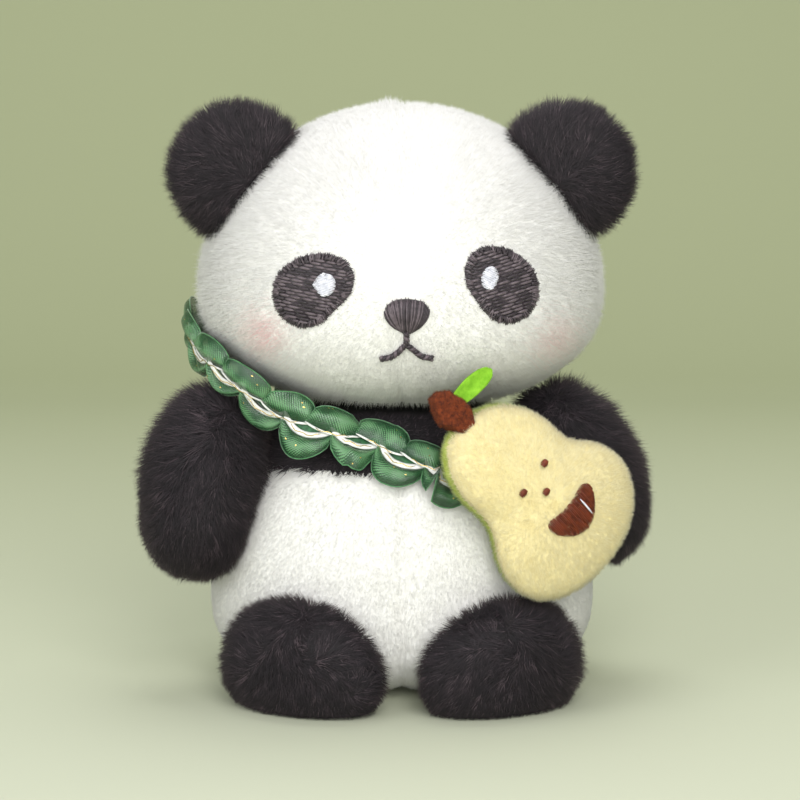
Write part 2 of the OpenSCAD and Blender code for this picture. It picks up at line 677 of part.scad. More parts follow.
face_left();
face_right();
head_back_left();
head_back_right();
head_stuffing();
ear_left_front();
ear_left_back();
ear_left_stuffing();
ear_right_front();
ear_right_back();
ear_right_stuffing();
eye_patch_left();
eye_patch_right();
eye_highlight_left();
eye_highlight_right();
nose_embroidery();
mouth_embroidery();
chest_yoke();
back_yoke();
belly_left();
belly_right();
back_left();
back_right();
base_panel();
torso_stuffing();
arm_left_outer();
arm_left_inner();
arm_left_stuffing();
arm_right_outer();
arm_right_inner();
arm_right_stuffing();
foot_left_upper();
foot_left_sole();
foot_left_stuffing();
foot_right_upper();
foot_right_sole();
foot_right_stuffing();
tail_cover();
tail_stuffing();
pear_front();
pear_back();
pear_stuffing();
pear_stem();
pear_leaf();
pear_seeds();
pear_core();
pear_tab();
strap_ribbon_front();
strap_ribbon_back();
strap_cord();
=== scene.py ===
"""Plush panda with a pear half on a ribbon strap: covers, pile, stitches and ribbon round the frame."""

import json
import math

import bmesh
import bpy
import numpy as np
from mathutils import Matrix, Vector
from mathutils.bvhtree import BVHTree
from mathutils.kdtree import KDTree


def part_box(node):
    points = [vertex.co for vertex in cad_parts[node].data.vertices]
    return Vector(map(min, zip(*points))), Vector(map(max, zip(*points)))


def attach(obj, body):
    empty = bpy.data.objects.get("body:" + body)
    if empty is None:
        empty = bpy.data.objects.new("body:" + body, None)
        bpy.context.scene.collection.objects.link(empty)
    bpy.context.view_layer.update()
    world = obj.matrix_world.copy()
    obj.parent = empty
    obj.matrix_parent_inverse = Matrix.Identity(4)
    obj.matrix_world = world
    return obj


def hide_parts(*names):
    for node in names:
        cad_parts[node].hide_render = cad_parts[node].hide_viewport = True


MM = 0.001
UP = np.array([0.0, 0.0, 1.0])
# Rays at the part, and those at the pear alone, start this far out, in metres
CAST_FROM = 0.2
PEAR_CAST_FROM = 0.05

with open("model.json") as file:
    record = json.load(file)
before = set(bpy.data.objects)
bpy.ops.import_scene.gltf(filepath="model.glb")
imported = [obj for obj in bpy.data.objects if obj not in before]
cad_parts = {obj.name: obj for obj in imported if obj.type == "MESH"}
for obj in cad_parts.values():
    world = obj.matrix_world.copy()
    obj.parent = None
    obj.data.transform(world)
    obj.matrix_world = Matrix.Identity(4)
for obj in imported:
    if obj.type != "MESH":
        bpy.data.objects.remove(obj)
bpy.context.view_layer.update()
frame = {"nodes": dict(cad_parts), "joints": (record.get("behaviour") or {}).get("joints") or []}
NODES = frame["nodes"]
HINGES = {j["name"]: j for j in frame["joints"]}


# ---------------------------------------------------------------- small vector helpers


def unit(v):
    """Rows of v at length 1."""
    return v / np.maximum(np.linalg.norm(v, axis=-1, keepdims=True), 1e-12)


def lengths(v):
    return np.linalg.norm(v, axis=-1)


def across_normal(v, n):
    """The part of each v that lies in the surface with normal n."""
    return v - (v * n).sum(-1, keepdims=True) * n


def smooth_step(x, low, high):
    t = np.clip((x - low) / (high - low), 0, 1)
    return t * t * (3 - 2 * t)


def node_points(*names):
    """Vertices of the named CAD nodes, in metres."""
    parts = []
    for n in names:
        data = NODES[n].data
        co = np.zeros(len(data.vertices) * 3)
        data.vertices.foreach_get("co", co)
        parts.append(co.reshape(-1, 3))
    return np.vstack(parts)


def node_middle(*names):
    p = node_points(*names)
    return (p.min(0) + p.max(0)) / 2


# ---------------------------------------------------------------- materials


def shader(name, colour, roughness, **sockets):
    """A material with one Principled shader; sockets are its other inputs, with _ for spaces."""
    m = bpy.data.materials.new(name)
    m.use_nodes = True
    b = m.node_tree.nodes["Principled BSDF"]
    b.inputs["Base Color"].default_value = (*colour, 1)
    b.inputs["Roughness"].default_value = roughness
    for key, value in sockets.items():
        socket = b.inputs[key.replace("_", " ")]
        socket.default_value = (*value, 1) if isinstance(value, tuple) else value
    return m


def add_node(m, kind, inputs=None, **settings):
    """A node in a material. inputs gives each socket a value, or the output that feeds it."""
    node = m.node_tree.nodes.new(f"ShaderNode{kind}")
    for key, value in settings.items():
        setattr(node, key, value)
    for key, value in (inputs or {}).items():
        if isinstance(value, bpy.types.NodeSocket):
            m.node_tree.links.new(value, node.inputs[key])
        else:
            node.inputs[key].default_value = value
    return node


def multiply_add(m, value, factor, extra):
    return add_node(m, "Math", {0: value, 1: factor, 2: extra}, operation="MULTIPLY_ADD").outputs[0]


def colour_by(m, factor, *stops):
    """Links a ramp of (place, colour) stops to the material's colour."""
    ramp = add_node(m, "ValToRGB", {"Fac": factor})
    elements = ramp.color_ramp.elements
    for at, _ in stops[1:-1]:
        elements.new(at)
    for element, (at, colour) in zip(elements, stops):
        element.position, element.color = at, (*colour, 1)
    m.node_tree.links.new(ramp.outputs["Color"], m.node_tree.nodes["Principled BSDF"].inputs["Base Color"])


def relief_by(m, height, strength, depth):
    """Links a bump, with its depth in metres, to the material's shader."""
    bump = add_node(m, "Bump", {"Strength": strength, "Distance": depth, "Height": height})
    m.node_tree.links.new(bump.outputs["Normal"], m.node_tree.nodes["Principled BSDF"].inputs["Normal"])


# Bump strength, scale of its noise and depth in metres
CLOTH = (0.3, 900, 0.0003)
THREAD = (0.5, 4000, 0.00008)


def mottled(name, colour, roughness, dark, light, scale, relief, **sockets):
    """A material with its colour from one noise and its relief from a finer one, both in object space."""
    m = shader(name, colour, roughness, **sockets)
    strength, relief_scale, depth = relief
    place = add_node(m, "TexCoord").outputs["Object"]
    broad = add_node(m, "TexNoise", {"Vector": place, "Scale": scale, "Detail": 6})
    colour_by(m, broad.outputs["Fac"], (0.35, dark), (0.65, light))
    fine = add_node(m, "TexNoise", {"Vector": place, "Scale": relief_scale, "Detail": 3})
    relief_by(m, fine.outputs["Fac"], strength, depth)
    return m


def pile_shades(name, colours, roughness=0.9, **sockets):
    """One material for each shade of a pile."""
    return [shader(f"{name}_{i}", c, roughness, **sockets) for i, c in enumerate(colours)]


white_cloth = mottled(
    "white_cloth", (0.88, 0.87, 0.835), 0.95, (0.80, 0.79, 0.75), (0.86, 0.85, 0.82), 260, CLOTH
)
dark_cloth = mottled(
    "dark_cloth", (0.02, 0.015, 0.017), 0.95, (0.010, 0.008, 0.009), (0.022, 0.016, 0.019), 260, CLOTH
)
pear_yellow = mottled(
    "pear_yellow", (0.9, 0.78, 0.4), 0.95, (0.74, 0.63, 0.31), (0.80, 0.70, 0.38), 300, CLOTH
)
pear_green = mottled(
    "pear_green", (0.42, 0.5, 0.1), 0.95, (0.30, 0.36, 0.05), (0.46, 0.53, 0.13), 300, CLOTH
)
felt_brown = mottled(
    "felt_brown", (0.2, 0.04, 0.006), 0.95, (0.075, 0.012, 0.002), (0.20, 0.036, 0.006), 900,
    (0.9, 1500, 0.0003),
)
felt_leaf = mottled(
    "felt_leaf", (0.35, 0.75, 0.04), 0.9, (0.17, 0.42, 0.012), (0.27, 0.58, 0.03), 500,
    (0.7, 1800, 0.0003),
)
thread_dark = mottled(
    "thread_dark", (0.04, 0.03, 0.035), 0.45, (0.016, 0.010, 0.014), (0.040, 0.027, 0.035), 700, THREAD,
    Sheen_Weight=0.15,
)
# Painted highlight: a lighter copy of the dark thread, which some stitches take to stand in for light on
# their raised tops and twists
thread_painted_highlight = mottled(
    "thread_painted_highlight", (0.07, 0.055, 0.06), 0.4, (0.075, 0.055, 0.065), (0.135, 0.105, 0.120), 700, THREAD,
    Sheen_Weight=0.15,
)
thread_white = mottled(
    "thread_white", (0.85, 0.85, 0.85), 0.45, (0.56, 0.57, 0.64), (0.78, 0.78, 0.84), 900,
    (0.4, 4000, 0.00006), Sheen_Weight=0.3,
)
thread_brown = mottled(
    "thread_brown", (0.2, 0.03, 0.006), 0.5, (0.100, 0.014, 0.003), (0.20, 0.032, 0.006), 700, THREAD
)
satin_white = mottled(
    "satin_white", (0.85, 0.85, 0.82), 0.3, (0.70, 0.72, 0.68), (0.92, 0.92, 0.90), 600,
    (0.3, 3000, 0.00006), Sheen_Weight=0.5, Specular_IOR_Level=0.7,
)
gold = mottled(
    "gold_thread", (0.9, 0.65, 0.2), 0.25, (0.75, 0.48, 0.12), (0.95, 0.75, 0.32), 2500,
    (0.2, 5000, 0.00004), Metallic=1.0,
)
hem_green = mottled(
    "hem_green", (0.1, 0.4, 0.16), 0.35, (0.02, 0.13, 0.04), (0.09, 0.28, 0.10), 900,
    (0.3, 4000, 0.00005), Sheen_Weight=0.4,
)
core_green = mottled(
    "core_green", (0.03, 0.16, 0.06), 0.5, (0.010, 0.065, 0.022), (0.04, 0.18, 0.065), 700,
    (0.3, 4000, 0.00005), Sheen_Weight=0.4,
)

# Three shades of white fur, then three of blush, from faint to full
white_pile = pile_shades(
    "white_pile",
    [
        (0.86, 0.85, 0.82), (0.81, 0.80, 0.765), (0.905, 0.90, 0.88),
        (0.89, 0.79, 0.76), (0.90, 0.72, 0.70), (0.91, 0.65, 0.64),
    ],
    Sheen_Weight=0.25, Sheen_Roughness=0.6,
)
dark_pile = pile_shades(
    "dark_pile",
    [(0.010, 0.0075, 0.010), (0.018, 0.013, 0.017), (0.037, 0.026, 0.032), (0.088, 0.063, 0.073)],
    roughness=0.75, Sheen_Weight=0.16, Sheen_Roughness=0.45, Sheen_Tint=(0.55, 0.42, 0.42),
)
yellow_pile = pile_shades(
    "yellow_pile", [(0.83, 0.74, 0.43), (0.87, 0.79, 0.50), (0.78, 0.68, 0.36)], Sheen_Weight=0.2
)
green_pile = pile_shades(
    "green_pile", [(0.44, 0.52, 0.12), (0.52, 0.60, 0.18), (0.34, 0.42, 0.07)], Sheen_Weight=0.2
)
brown_fuzz = pile_shades("brown_fuzz", [(0.16, 0.028, 0.004), (0.07, 0.012, 0.002), (0.27, 0.062, 0.010)])
leaf_fuzz = pile_shades("leaf_fuzz", [(0.28, 0.60, 0.03), (0.20, 0.48, 0.018)])


def organza():
    """Sheer ribbon: crossed yarns on the slant, from a UV map in centimetres, with a painted highlight along
    the middle of each loop, where its fold would catch the light, and painted shade towards its inner and
    outer edges.
    """
    m = shader(
        "organza", (0.05, 0.26, 0.1), 0.27,
        Sheen_Weight=0.08, Sheen_Roughness=0.3, Specular_IOR_Level=0.8, Alpha=0.72,
    )
    uv = add_node(m, "UVMap", uv_map="ribbon").outputs["UV"]
    yarns = []
    for turn in (38, -52):
        grid = add_node(m, "Mapping", {"Vector": uv, "Rotation": (0, 0, math.radians(turn))})
        wave = add_node(m, "TexWave", {"Vector": grid.outputs["Vector"], "Scale": 6, "Distortion": 0.4})
        yarns.append(wave.outputs["Fac"])
    weave = multiply_add(m, yarns[1], 0.45, yarns[0])
    place = add_node(m, "TexCoord").outputs["Object"]
    cloud = add_node(m, "TexNoise", {"Vector": place, "Scale": 180}).outputs["Fac"]
    # Painted highlight and shade: lightest halfway across each layer of a loop, darkest at its inner and
    # outer edges
    across = add_node(m, "SeparateXYZ", {0: uv}).outputs["Y"]
    fold = add_node(m, "Math", {0: across, 1: 0.35}, operation="PINGPONG").outputs[0]
    painted_shine = multiply_add(m, fold, 0.98, cloud)
    mixed = multiply_add(m, weave, 0.24, painted_shine)
    dark, middle, light = (0.006, 0.048, 0.014), (0.016, 0.100, 0.031), (0.15, 0.34, 0.155)
    colour_by(m, mixed, (0.6, dark), (0.84, middle), (1.0, light))
    relief_by(m, weave, 0.5, 0.0001)
    return m


ribbon_green = organza()


# ---------------------------------------------------------------- mesh helpers


def as_list(rows):
    return rows.tolist() if isinstance(rows, np.ndarray) else rows


def mesh_of(name, verts, faces):
    me = bpy.data.meshes.new(name)
    me.from_pydata(as_list(np.asarray(verts)), [], as_list(faces))
    return me


def placed(name, data):
    """A new object in the scene that shows some data."""
    o = bpy.data.objects.new(name, data)
    bpy.context.scene.collection.objects.link(o)
    return o


def mesh_object(name, verts, faces, mats, body, index=None, shade=True, stands_for=()):
    """A piece from vertices in metres and faces, riding on a body. index gives each face's material."""
    me = mesh_of(name, verts, faces)
    for m in mats:
        me.materials.append(m)
    if index is not None:
        me.polygons.foreach_set("material_index", np.asarray(index, np.int32))
    me.polygons.foreach_set("use_smooth", np.full(len(me.polygons), shade))
    me.update()
    o = placed(name, me)
    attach(o, body)
    if stands_for:
        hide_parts(*stands_for)
    return o


def grid_quads(rows, cols):
    """Faces of a grid with its points in rows of cols + 1."""
    starts = (i * (cols + 1) + j for i in range(rows) for j in range(cols))
    return [(a, a + 1, a + cols + 2, a + cols + 1) for a in starts]


def triangles_of(me):
    """Vertices, triangles and vertex normals of a mesh, as arrays."""
    me.calc_loop_triangles()
    co = np.zeros(len(me.vertices) * 3)
    me.vertices.foreach_get("co", co)
    tri = np.zeros(len(me.loop_triangles) * 3, np.int32)
    me.loop_triangles.foreach_get("vertices", tri)
    no = np.zeros(len(me.vertices) * 3, np.float32)
    me.vertex_normals.foreach_get("vector", no)
    return co.reshape(-1, 3), tri.reshape(-1, 3), no.reshape(-1, 3).astype(float)


def tree_of(nodes):
    """Ray tree of several CAD nodes together."""
    verts, faces = [], []
    for n in nodes:
        co, tri, _ = triangles_of(NODES[n].data)
        faces += (tri + len(verts)).tolist()
        verts += co.tolist()
    return BVHTree.FromPolygons(verts, faces)


def ball(level):
    """Directions and triangles of an even ball."""
    bm = bmesh.new()
    bmesh.ops.create_icosphere(bm, subdivisions=level, radius=1.0)
    bm.verts.ensure_lookup_table()
    dirs = np.array([v.co for v in bm.verts])
    tris = np.array([[v.index for v in f.verts] for f in bm.faces])
    bm.free()
    return dirs, tris


def cast_in(tree, centre, dirs, fallback=None):
    """Outermost points of what the tree holds, seen from outside towards centre."""
    out = np.zeros_like(dirs)
    c = Vector(centre)
    for i, d in enumerate(dirs):
        d = Vector(d)
        hit = tree.ray_cast(c + d * CAST_FROM, -d)[0]
        out[i] = hit if hit is not None else (fallback[i] if fallback is not None else c)
    return out


def relaxed(co, tris, rounds, back=0.5):
    """Smooths vertices towards the middle of their neighbours, then part of the way back to keep the size."""
    n = len(co)
    edges = np.vstack([tris[:, [0, 1]], tris[:, [1, 2]], tris[:, [2, 0]]])
    count = np.bincount(edges[:, 0], minlength=n)[:, None]
    for _ in range(rounds):
        for share in (0.5, -back):
            total = np.zeros_like(co)
            np.add.at(total, edges[:, 0], co[edges[:, 1]])
            co = co + share * (total / count - co)
    return co


# ---------------------------------------------------------------- soft covers

PEAR_NODES = ["pear_front", "pear_back", "pear_stuffing"]
TORSO_CLOTH = ["chest_yoke", "back_yoke", "belly_left", "belly_right", "back_left", "back_right"]
TORSO_NODES = [*TORSO_CLOTH, "base_panel", "torso_stuffing"]
HEAD_NODES = ["face_left", "face_right", "head_back_left", "head_back_right", "head_stuffing"]


def limb_nodes(kind, side):
    parts = {"arm": ("outer", "inner"), "foot": ("upper", "sole"), "ear": ("front", "back")}[kind]
    return [f"{kind}_{side}_{p}" for p in (*parts, "stuffing")]


# Height of the seam between the belly and the yoke, in mm
YOKE_Z = (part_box("chest_yoke")[0].z) / MM
pear_axis = np.array(HINGES["pear_swing"]["axis"], float)
pear_mid = node_middle(*PEAR_NODES)
pear_up = unit(across_normal(node_middle("pear_stem") - node_middle("pear_core"), pear_axis))
pear_side = np.cross(pear_up, pear_axis)


def near_plane(value, width):
    return np.abs(value) < width * MM


def head_seam(p):
    return near_plane(p[:, 0], 1.5) | near_plane(p[:, 1], 1.5)


def torso_seam(p):
    low = p[:, 2] < 2 * MM
    return near_plane(p[:, 0], 1.5) & (p[:, 2] < YOKE_Z * MM) | near_plane(p[:, 2] - YOKE_Z * MM, 1.5) | low


def floor_seam(p):
    return p[:, 2] < 2 * MM


def pear_seam_level(p):
    """Distance in front of the pear's seam, which runs further forward at the top and left."""
    d = p - pear_mid
    flat = unit(across_normal(d, pear_axis))
    return d @ pear_axis - (0.7 + 1.1 * (flat @ unit(0.5 * UP - np.array([1.0, 0, 0])))) * MM


def pear_seam(p):
    return near_plane(pear_seam_level(p), 1.2)


def no_seam(p):
    return np.zeros(len(p), bool)


# name: (CAD nodes, ball level, body, slot, most movement of the cloth in mm, seam test)
COVERS = {
    "head": (HEAD_NODES, 6, "head", "white_plush", 1.6, head_seam),
    "torso": (TORSO_NODES, 6, "torso", "white_plush", 1.6, torso_seam),
}
for kind, cap, seam in [("arm", 0.6, no_seam), ("foot", 0.8, floor_seam), ("ear", 0.6, no_seam)]:
    for side in ("left", "right"):
        limb = f"{kind}_{side}"
        COVERS[limb] = (limb_nodes(kind, side), 5, "head" if kind == "ear" else limb, "dark_plush", cap, seam)
COVERS["tail"] = (["tail_cover", "tail_stuffing"], 4, "torso", "white_plush", 0.6, no_seam)
COVERS["pear"] = (PEAR_NODES, 6, "pear", "pear_yellow_plush", 0.8, pear_seam)
CLOTH_FRAMES = 20


def start_sim(name, co, tris, seam):
    """A remeshed copy of a cover with a cloth modifier under pressure, held along its seams."""
    raw = placed(f"{name}_sim", mesh_of(f"{name}_sim", co, tris))
    span = (co.max(0) - co.min(0)).max()
    remesh = raw.modifiers.new("remesh", "REMESH")
    remesh.mode = "VOXEL"
    remesh.voxel_size = max(0.0018, min(0.0035, span / 26))
    dg = bpy.context.evaluated_depsgraph_get()
    done = bpy.data.meshes.new_from_object(raw.evaluated_get(dg))
    bpy.data.objects.remove(raw)
    o = placed(f"{name}_sim", done)
    p = np.array([v.co for v in done.vertices])
    group = o.vertex_groups.new(name="seam")
    group.add(np.flatnonzero(seam(p)).tolist(), 1.0, "REPLACE")
    cloth = o.modifiers.new("cloth", "CLOTH")
    s = cloth.settings
    s.quality = 4
    s.use_pressure = True
    s.uniform_pressure_force = 1.0
    s.effector_weights.gravity = 0
    s.vertex_group_mass = "seam"
    s.tension_stiffness = 20
    s.compression_stiffness = 20
    s.bending_stiffness = 0.4
    cloth.collision_settings.use_collision = False
    cloth.point_cache.frame_start, cloth.point_cache.frame_end = 1, CLOTH_FRAMES
    return o


def build_covers():
    """Cover shapes by name: points, triangles, centre and the directions of the points from it."""
    shapes, sims = {}, {}
    for name, (nodes, level, *_, seam) in COVERS.items():
        tree = tree_of(nodes)
        centre = node_middle(*nodes)
        if name.startswith("ear"):
            centre = centre + np.array([math.copysign(2.5, centre[0]), 0, 2.5]) * MM
        if name == "pear":
            centre = node_middle("pear_stuffing") - 1.5 * MM * pear_up
        dirs, tris = ball(level)
        co = relaxed(cast_in(tree, centre, dirs), tris, 6)
        shapes[name] = [co, tris, centre, dirs]
        sims[name] = start_sim(name, co, tris, seam)
    if sims:
        scene = bpy.context.scene
        for f in range(1, CLOTH_FRAMES + 1):
            scene.frame_set(f)
        dg = bpy.context.evaluated_depsgraph_get()
        for name, o in sims.items():
            done = bpy.data.meshes.new_from_object(o.evaluated_get(dg))
            verts, faces, _ = triangles_of(done)
            tree = BVHTree.FromPolygons(verts.tolist(), faces.tolist())
            co, tris, centre, dirs = shapes[name]
            move = cast_in(tree, centre, dirs, fallback=co) - co
            size = np.linalg.norm(move, axis=1, keepdims=True)
            cap = COVERS[name][4] * MM
            move = move * np.minimum(1, cap / np.maximum(size, 1e-9))
            shapes[name][0] = relaxed(co + move, tris, 3)
            bpy.data.meshes.remove(done)
            bpy.data.objects.remove(o)
        scene.frame_set(1)
    return shapes


def grooved(co, tris, seam_distance, depth, width):
    """A cover pulled in along a seam: seam_distance gives each point's distance from it, in metres."""
    d = seam_distance(co)
    me = mesh_of("temp", co, tris)
    no = triangles_of(me)[2]
    bpy.data.meshes.remove(me)
    pull = depth * MM * np.exp(-((d / (width * MM)) ** 2))
    return co - no * pull[:, None]


shapes = build_covers()
for name, seam_distance, depth, width in [
    ("head", lambda p: p[:, 0], 0.5, 1.6),
    ("torso", lambda p: p[:, 0] + (p[:, 2] > YOKE_Z * MM), 0.9, 1.4),
    ("torso", lambda p: p[:, 2] - YOKE_Z * MM, 0.6, 1.5),
    ("pear", pear_seam_level, 0.4, 0.7),
]:
    shapes[name][0] = grooved(*shapes[name][:2], seam_distance, depth, width)


def fuller_pear(co):
    """Fills the narrow lobe's outer side out, the green half a little more than the yellow one."""
    rim = across_normal(co - pear_mid, pear_axis)
    far = smooth_step(lengths(rim) / MM, 8, 18)
    facing = smooth_step(unit(rim) @ unit(np.array([-0.62, 0, 0.78])), 0.35, 0.95)
    green = smooth_step(-pear_seam_level(co) / MM, -0.3, 1.2)
    return co + unit(rim) * (far * facing * (1.3 + 0.9 * green) * MM)[:, None]


shapes["pear"][0] = fuller_pear(shapes["pear"][0])

covers, trees = {}, {}
for name, (nodes, _, body, slot, _, _) in COVERS.items():
    co, tris, centre, _ = shapes[name]
    if name in ("torso", "foot_left", "foot_right"):
        co[:, 2] = np.maximum(co[:, 2], 0)
    middle = co[tris].mean(1)
    if name == "torso":
        mats, index = [white_cloth, dark_cloth], middle[:, 2] > YOKE_Z * MM
    elif name == "pear":
        mats, index = [pear_yellow, pear_green], pear_seam_level(middle) < 0
    else:
        mats, index = [white_cloth if slot == "white_plush" else dark_cloth], None
    covers[name] = mesh_object(f"{name}_cover", co, tris, mats, body, index, stands_for=nodes)
    trees[name] = BVHTree.FromPolygons(co.tolist(), tris.tolist())


# ---------------------------------------------------------------- pile


def drift(p, size, seed):
    """A smooth field of small vectors that wanders over a distance of size, in mm."""
    rng = np.random.default_rng(seed)
    way = unit(rng.normal(size=(14, 3))) * 2 * math.pi / (size * MM) * rng.uniform(0.5, 1.4, (14, 1))
    wave = np.sin(p @ way.T + rng.uniform(0, 2 * math.pi, 14))
    return wave @ rng.normal(size=(14, 3)) / math.sqrt(14)


# Depth of the roots under the cover and least height of a strand over the floor, in mm
ROOT_DEPTH = 0.25
FLOOR_GAP = 0.05


def pile(
    name, cover, body, slot, mats, per_mm2, length, width, lift, comb, seed,
    keep=None, shades=None, clump=0.35, per_clump=9, jitter=0.22, swirl=0.0, roundness=0.5, tufts=0.0,
):
    """Tapered strands on a cover, drawn towards a leader in each clump.

    length and width are in mm, and length may be a function of the roots. comb gives the way the strands
    lie, lift their share of the normal, swirl how far the way wanders, and tufts the share that takes its
    leader's shade.
    """
    rng = np.random.default_rng(seed)
    co, tri, no = triangles_of(cover.data)
    a, b, c = co[tri[:, 0]], co[tri[:, 1]], co[tri[:, 2]]
    area = lengths(np.cross(b - a, c - a)) / 2
    n = int(area.sum() / MM**2 * per_mm2)
    pick = np.searchsorted(np.cumsum(area), rng.random(n) * area.sum()).clip(0, len(tri) - 1)
    r1, r2 = np.sqrt(rng.random((n, 1))), rng.random((n, 1))
    w = np.hstack([1 - r1, r1 * (1 - r2), r1 * r2])
    root = (co[tri[pick]] * w[:, :, None]).sum(1)
    normal = unit((no[tri[pick]] * w[:, :, None]).sum(1))
    if keep is not None:
        kept = keep(root, normal, rng)
        root, normal = root[kept], normal[kept]
        n = len(root)
    lie = unit(across_normal(unit(comb(root, normal)) + swirl * drift(root, 16, 5), normal))
    way = unit(lift * normal + (1 - lift) * lie + jitter * rng.normal(size=(n, 3)))
    # Strands that would lie flat or point inwards are lifted
    way = unit(way + 0.25 * normal * ((way * normal).sum(1, keepdims=True) < 0.15))
    long = (length(root) if callable(length) else np.full(n, length)) * MM * rng.uniform(0.7, 1.1, n)
    tip = root + way * long[:, None]
    shade = (shades(root, rng) if shades else rng.integers(0, len(mats), n)).astype(np.int32)
    if clump:
        leaders = rng.choice(n, max(1, n // per_clump), replace=False)
        near = KDTree(len(leaders))
        for k, i in enumerate(leaders):
            near.insert(root[i], k)
        near.balance()
        own = leaders[np.array([near.find(p)[1] for p in root])]
        pull = (clump * rng.uniform(0.4, 1.0, n))[:, None]
        tip = tip * (1 - pull) + (tip[own] + 0.3 * (root - root[own])) * pull
        shade = np.where(rng.random(n) < tufts, shade[own], shade)
    way = unit(tip - root)
    side = unit(np.cross(way, unit(rng.normal(size=(n, 3)))))
    other = np.cross(way, side)
    half = (width * MM / 2 * rng.uniform(0.75, 1.25, n))[:, None]
    base = root - normal * ROOT_DEPTH * MM
    verts = np.zeros((n, 4, 3))
    normals = np.zeros((n, 4, 3))
    for k in range(3):
        turn = 2 * math.pi * k / 3
        ring = math.cos(turn) * side + math.sin(turn) * other
        verts[:, k] = base + half * ring
        normals[:, k] = unit(normal + roundness * ring)
    verts[:, 3] = tip
    normals[:, 3] = unit(normal + 0.3 * way)
    verts[:, :, 2] = np.maximum(verts[:, :, 2], FLOOR_GAP * MM)
    first = np.arange(n)[:, None] * 4
    loops = np.hstack([first + [0, 1, 3], first + [1, 2, 3], first + [2, 0, 3]]).astype(np.int32)
    me = bpy.data.meshes.new(name)
    me.vertices.add(n * 4)
    me.vertices.foreach_set("co", verts.ravel())
    me.loops.add(n * 9)
    me.loops.foreach_set("vertex_index", loops.ravel())
    me.polygons.add(n * 3)
    me.polygons.foreach_set("loop_start", np.arange(0, n * 9, 3, dtype=np.int32))
    for m in mats:
        me.materials.append(m)
    me.polygons.foreach_set("material_index", np.repeat(shade, 3))
    me.update(calc_edges=True)
    custom = me.attributes.new("custom_normal", "FLOAT_VECTOR", "POINT")
    custom.data.foreach_set("vector", normals.astype(np.float32).ravel())
    me.update()
    o = placed(name, me)
    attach(o, body)


def downwards(p, n):
    return np.broadcast_to(-UP, p.shape)


def away_from(point, drop=0.0):
    def comb(p, n):
        return unit(p - point) - drop * UP

    return comb


def dark_shades(p, rng):
    return rng.choice(4, len(p), p=[0.42, 0.34, 0.19, 0.05])


def white_shades(p, rng):
    return rng.choice(3, len(p), p=[0.45, 0.25, 0.30])


# Middle, radius and strength of the blush on each cheek, in metres
BLUSH = [
    (np.array([-33.9, -30, 93.6]) * MM, 5.2 * MM, 1.0),
    (np.array([38.3, -28, 91.4]) * MM, 5.6 * MM, 0.55),
]


def face_shades(p, rng):
    """White, with more and fuller pink strands towards the middle of each cheek."""
    out = white_shades(p, rng)
    for middle, radius, strength in BLUSH:
        d = lengths((p - middle)[:, [0, 2]])
        glow = strength * np.exp(-((d / radius) ** 2)) * (p[:, 1] < 0)
        level = np.floor(glow * 3 + rng.uniform(0, 1, len(p))).astype(int)
        out = np.where(level > 0, 2 + np.minimum(level, 3), out)
    return out


def hull(points):
    """Convex outline of flat points, anticlockwise."""
    p = np.unique(np.round(points, 6), axis=0)
    p = p[np.lexsort((p[:, 1], p[:, 0]))]

    def half(seq):
        out = []
        for q in seq:
            while len(out) > 1 and np.cross(out[-1] - out[-2], q - out[-2]) <= 0:
                out.pop()
            out.append(q)
        return out[:-1]

    return np.array(half(p) + half(p[::-1]))


def outline_of(node):
    """Outline of a flat stitched CAD node seen from the front, as x and z in metres."""
    return hull(node_points(node)[:, [0, 2]])


def inside(poly, q, margin):
    """Whether each q lies inside an outline that is seen whole from its middle, with a margin in metres."""
    arm, ray = poly - poly.mean(0), q - poly.mean(0)
    turn = np.arctan2(arm[:, 1], arm[:, 0])
    order = np.argsort(turn)
    reach = np.interp(np.arctan2(ray[:, 1], ray[:, 0]), turn[order], lengths(arm)[order], period=2 * math.pi)
    return lengths(ray) < reach + margin


def lengths_along(path):
    """Distance of each point of a path from its start."""
    return np.concatenate([[0], np.cumsum(lengths(np.diff(path, axis=0)))])


def along_path(path, run, s):
    """Points of a path at distances s along it; run gives the distance of each of its own points."""
    return np.stack([np.interp(s, run, column) for column in path.T], 1)


def resampled(poly, step):
    """Points of a closed outline at an even step in mm."""
    loop = np.vstack([poly, poly[:1]])
    run = lengths_along(loop)
    s = np.linspace(0, run[-1], max(8, int(run[-1] / (step * MM))), endpoint=False)
    return along_path(loop, run, s)


def flattened(poly, direction, depth, spread):
    """An outline drawn in on one side: direction and spread in degrees, depth in mm."""
    middle = poly.mean(0)
    ray = resampled(poly, 0.45) - middle
    turn = np.arctan2(ray[:, 1], ray[:, 0]) - math.radians(direction)
    turn = (turn + math.pi) % (2 * math.pi) - math.pi
    r = lengths(ray)
    return middle + ray * (1 - depth * MM / r * np.exp(-((turn / math.radians(spread)) ** 2)))[:, None]


# Outlines of the stitched patches, the eye patches drawn in at their lower outer side
outlines = {
    "eye_patch_left": flattened(outline_of("eye_patch_left"), -42, 1.7, 44),
    "eye_patch_right": flattened(outline_of("eye_patch_right"), -138, 1.5, 44),
    "nose_embroidery": outline_of("nose_embroidery"),
}


def off_stitches(p, n, rng):
    """Leaves the face's stitched areas bare, and the hidden part over the neck."""
    kept = ~((p[:, 2] < 75 * MM) & (n[:, 2] < -0.93))
    for poly in outlines.values():
        kept &= ~((p[:, 1] < 0) & inside(poly, p[:, [0, 2]], -0.7 * MM))
    return kept


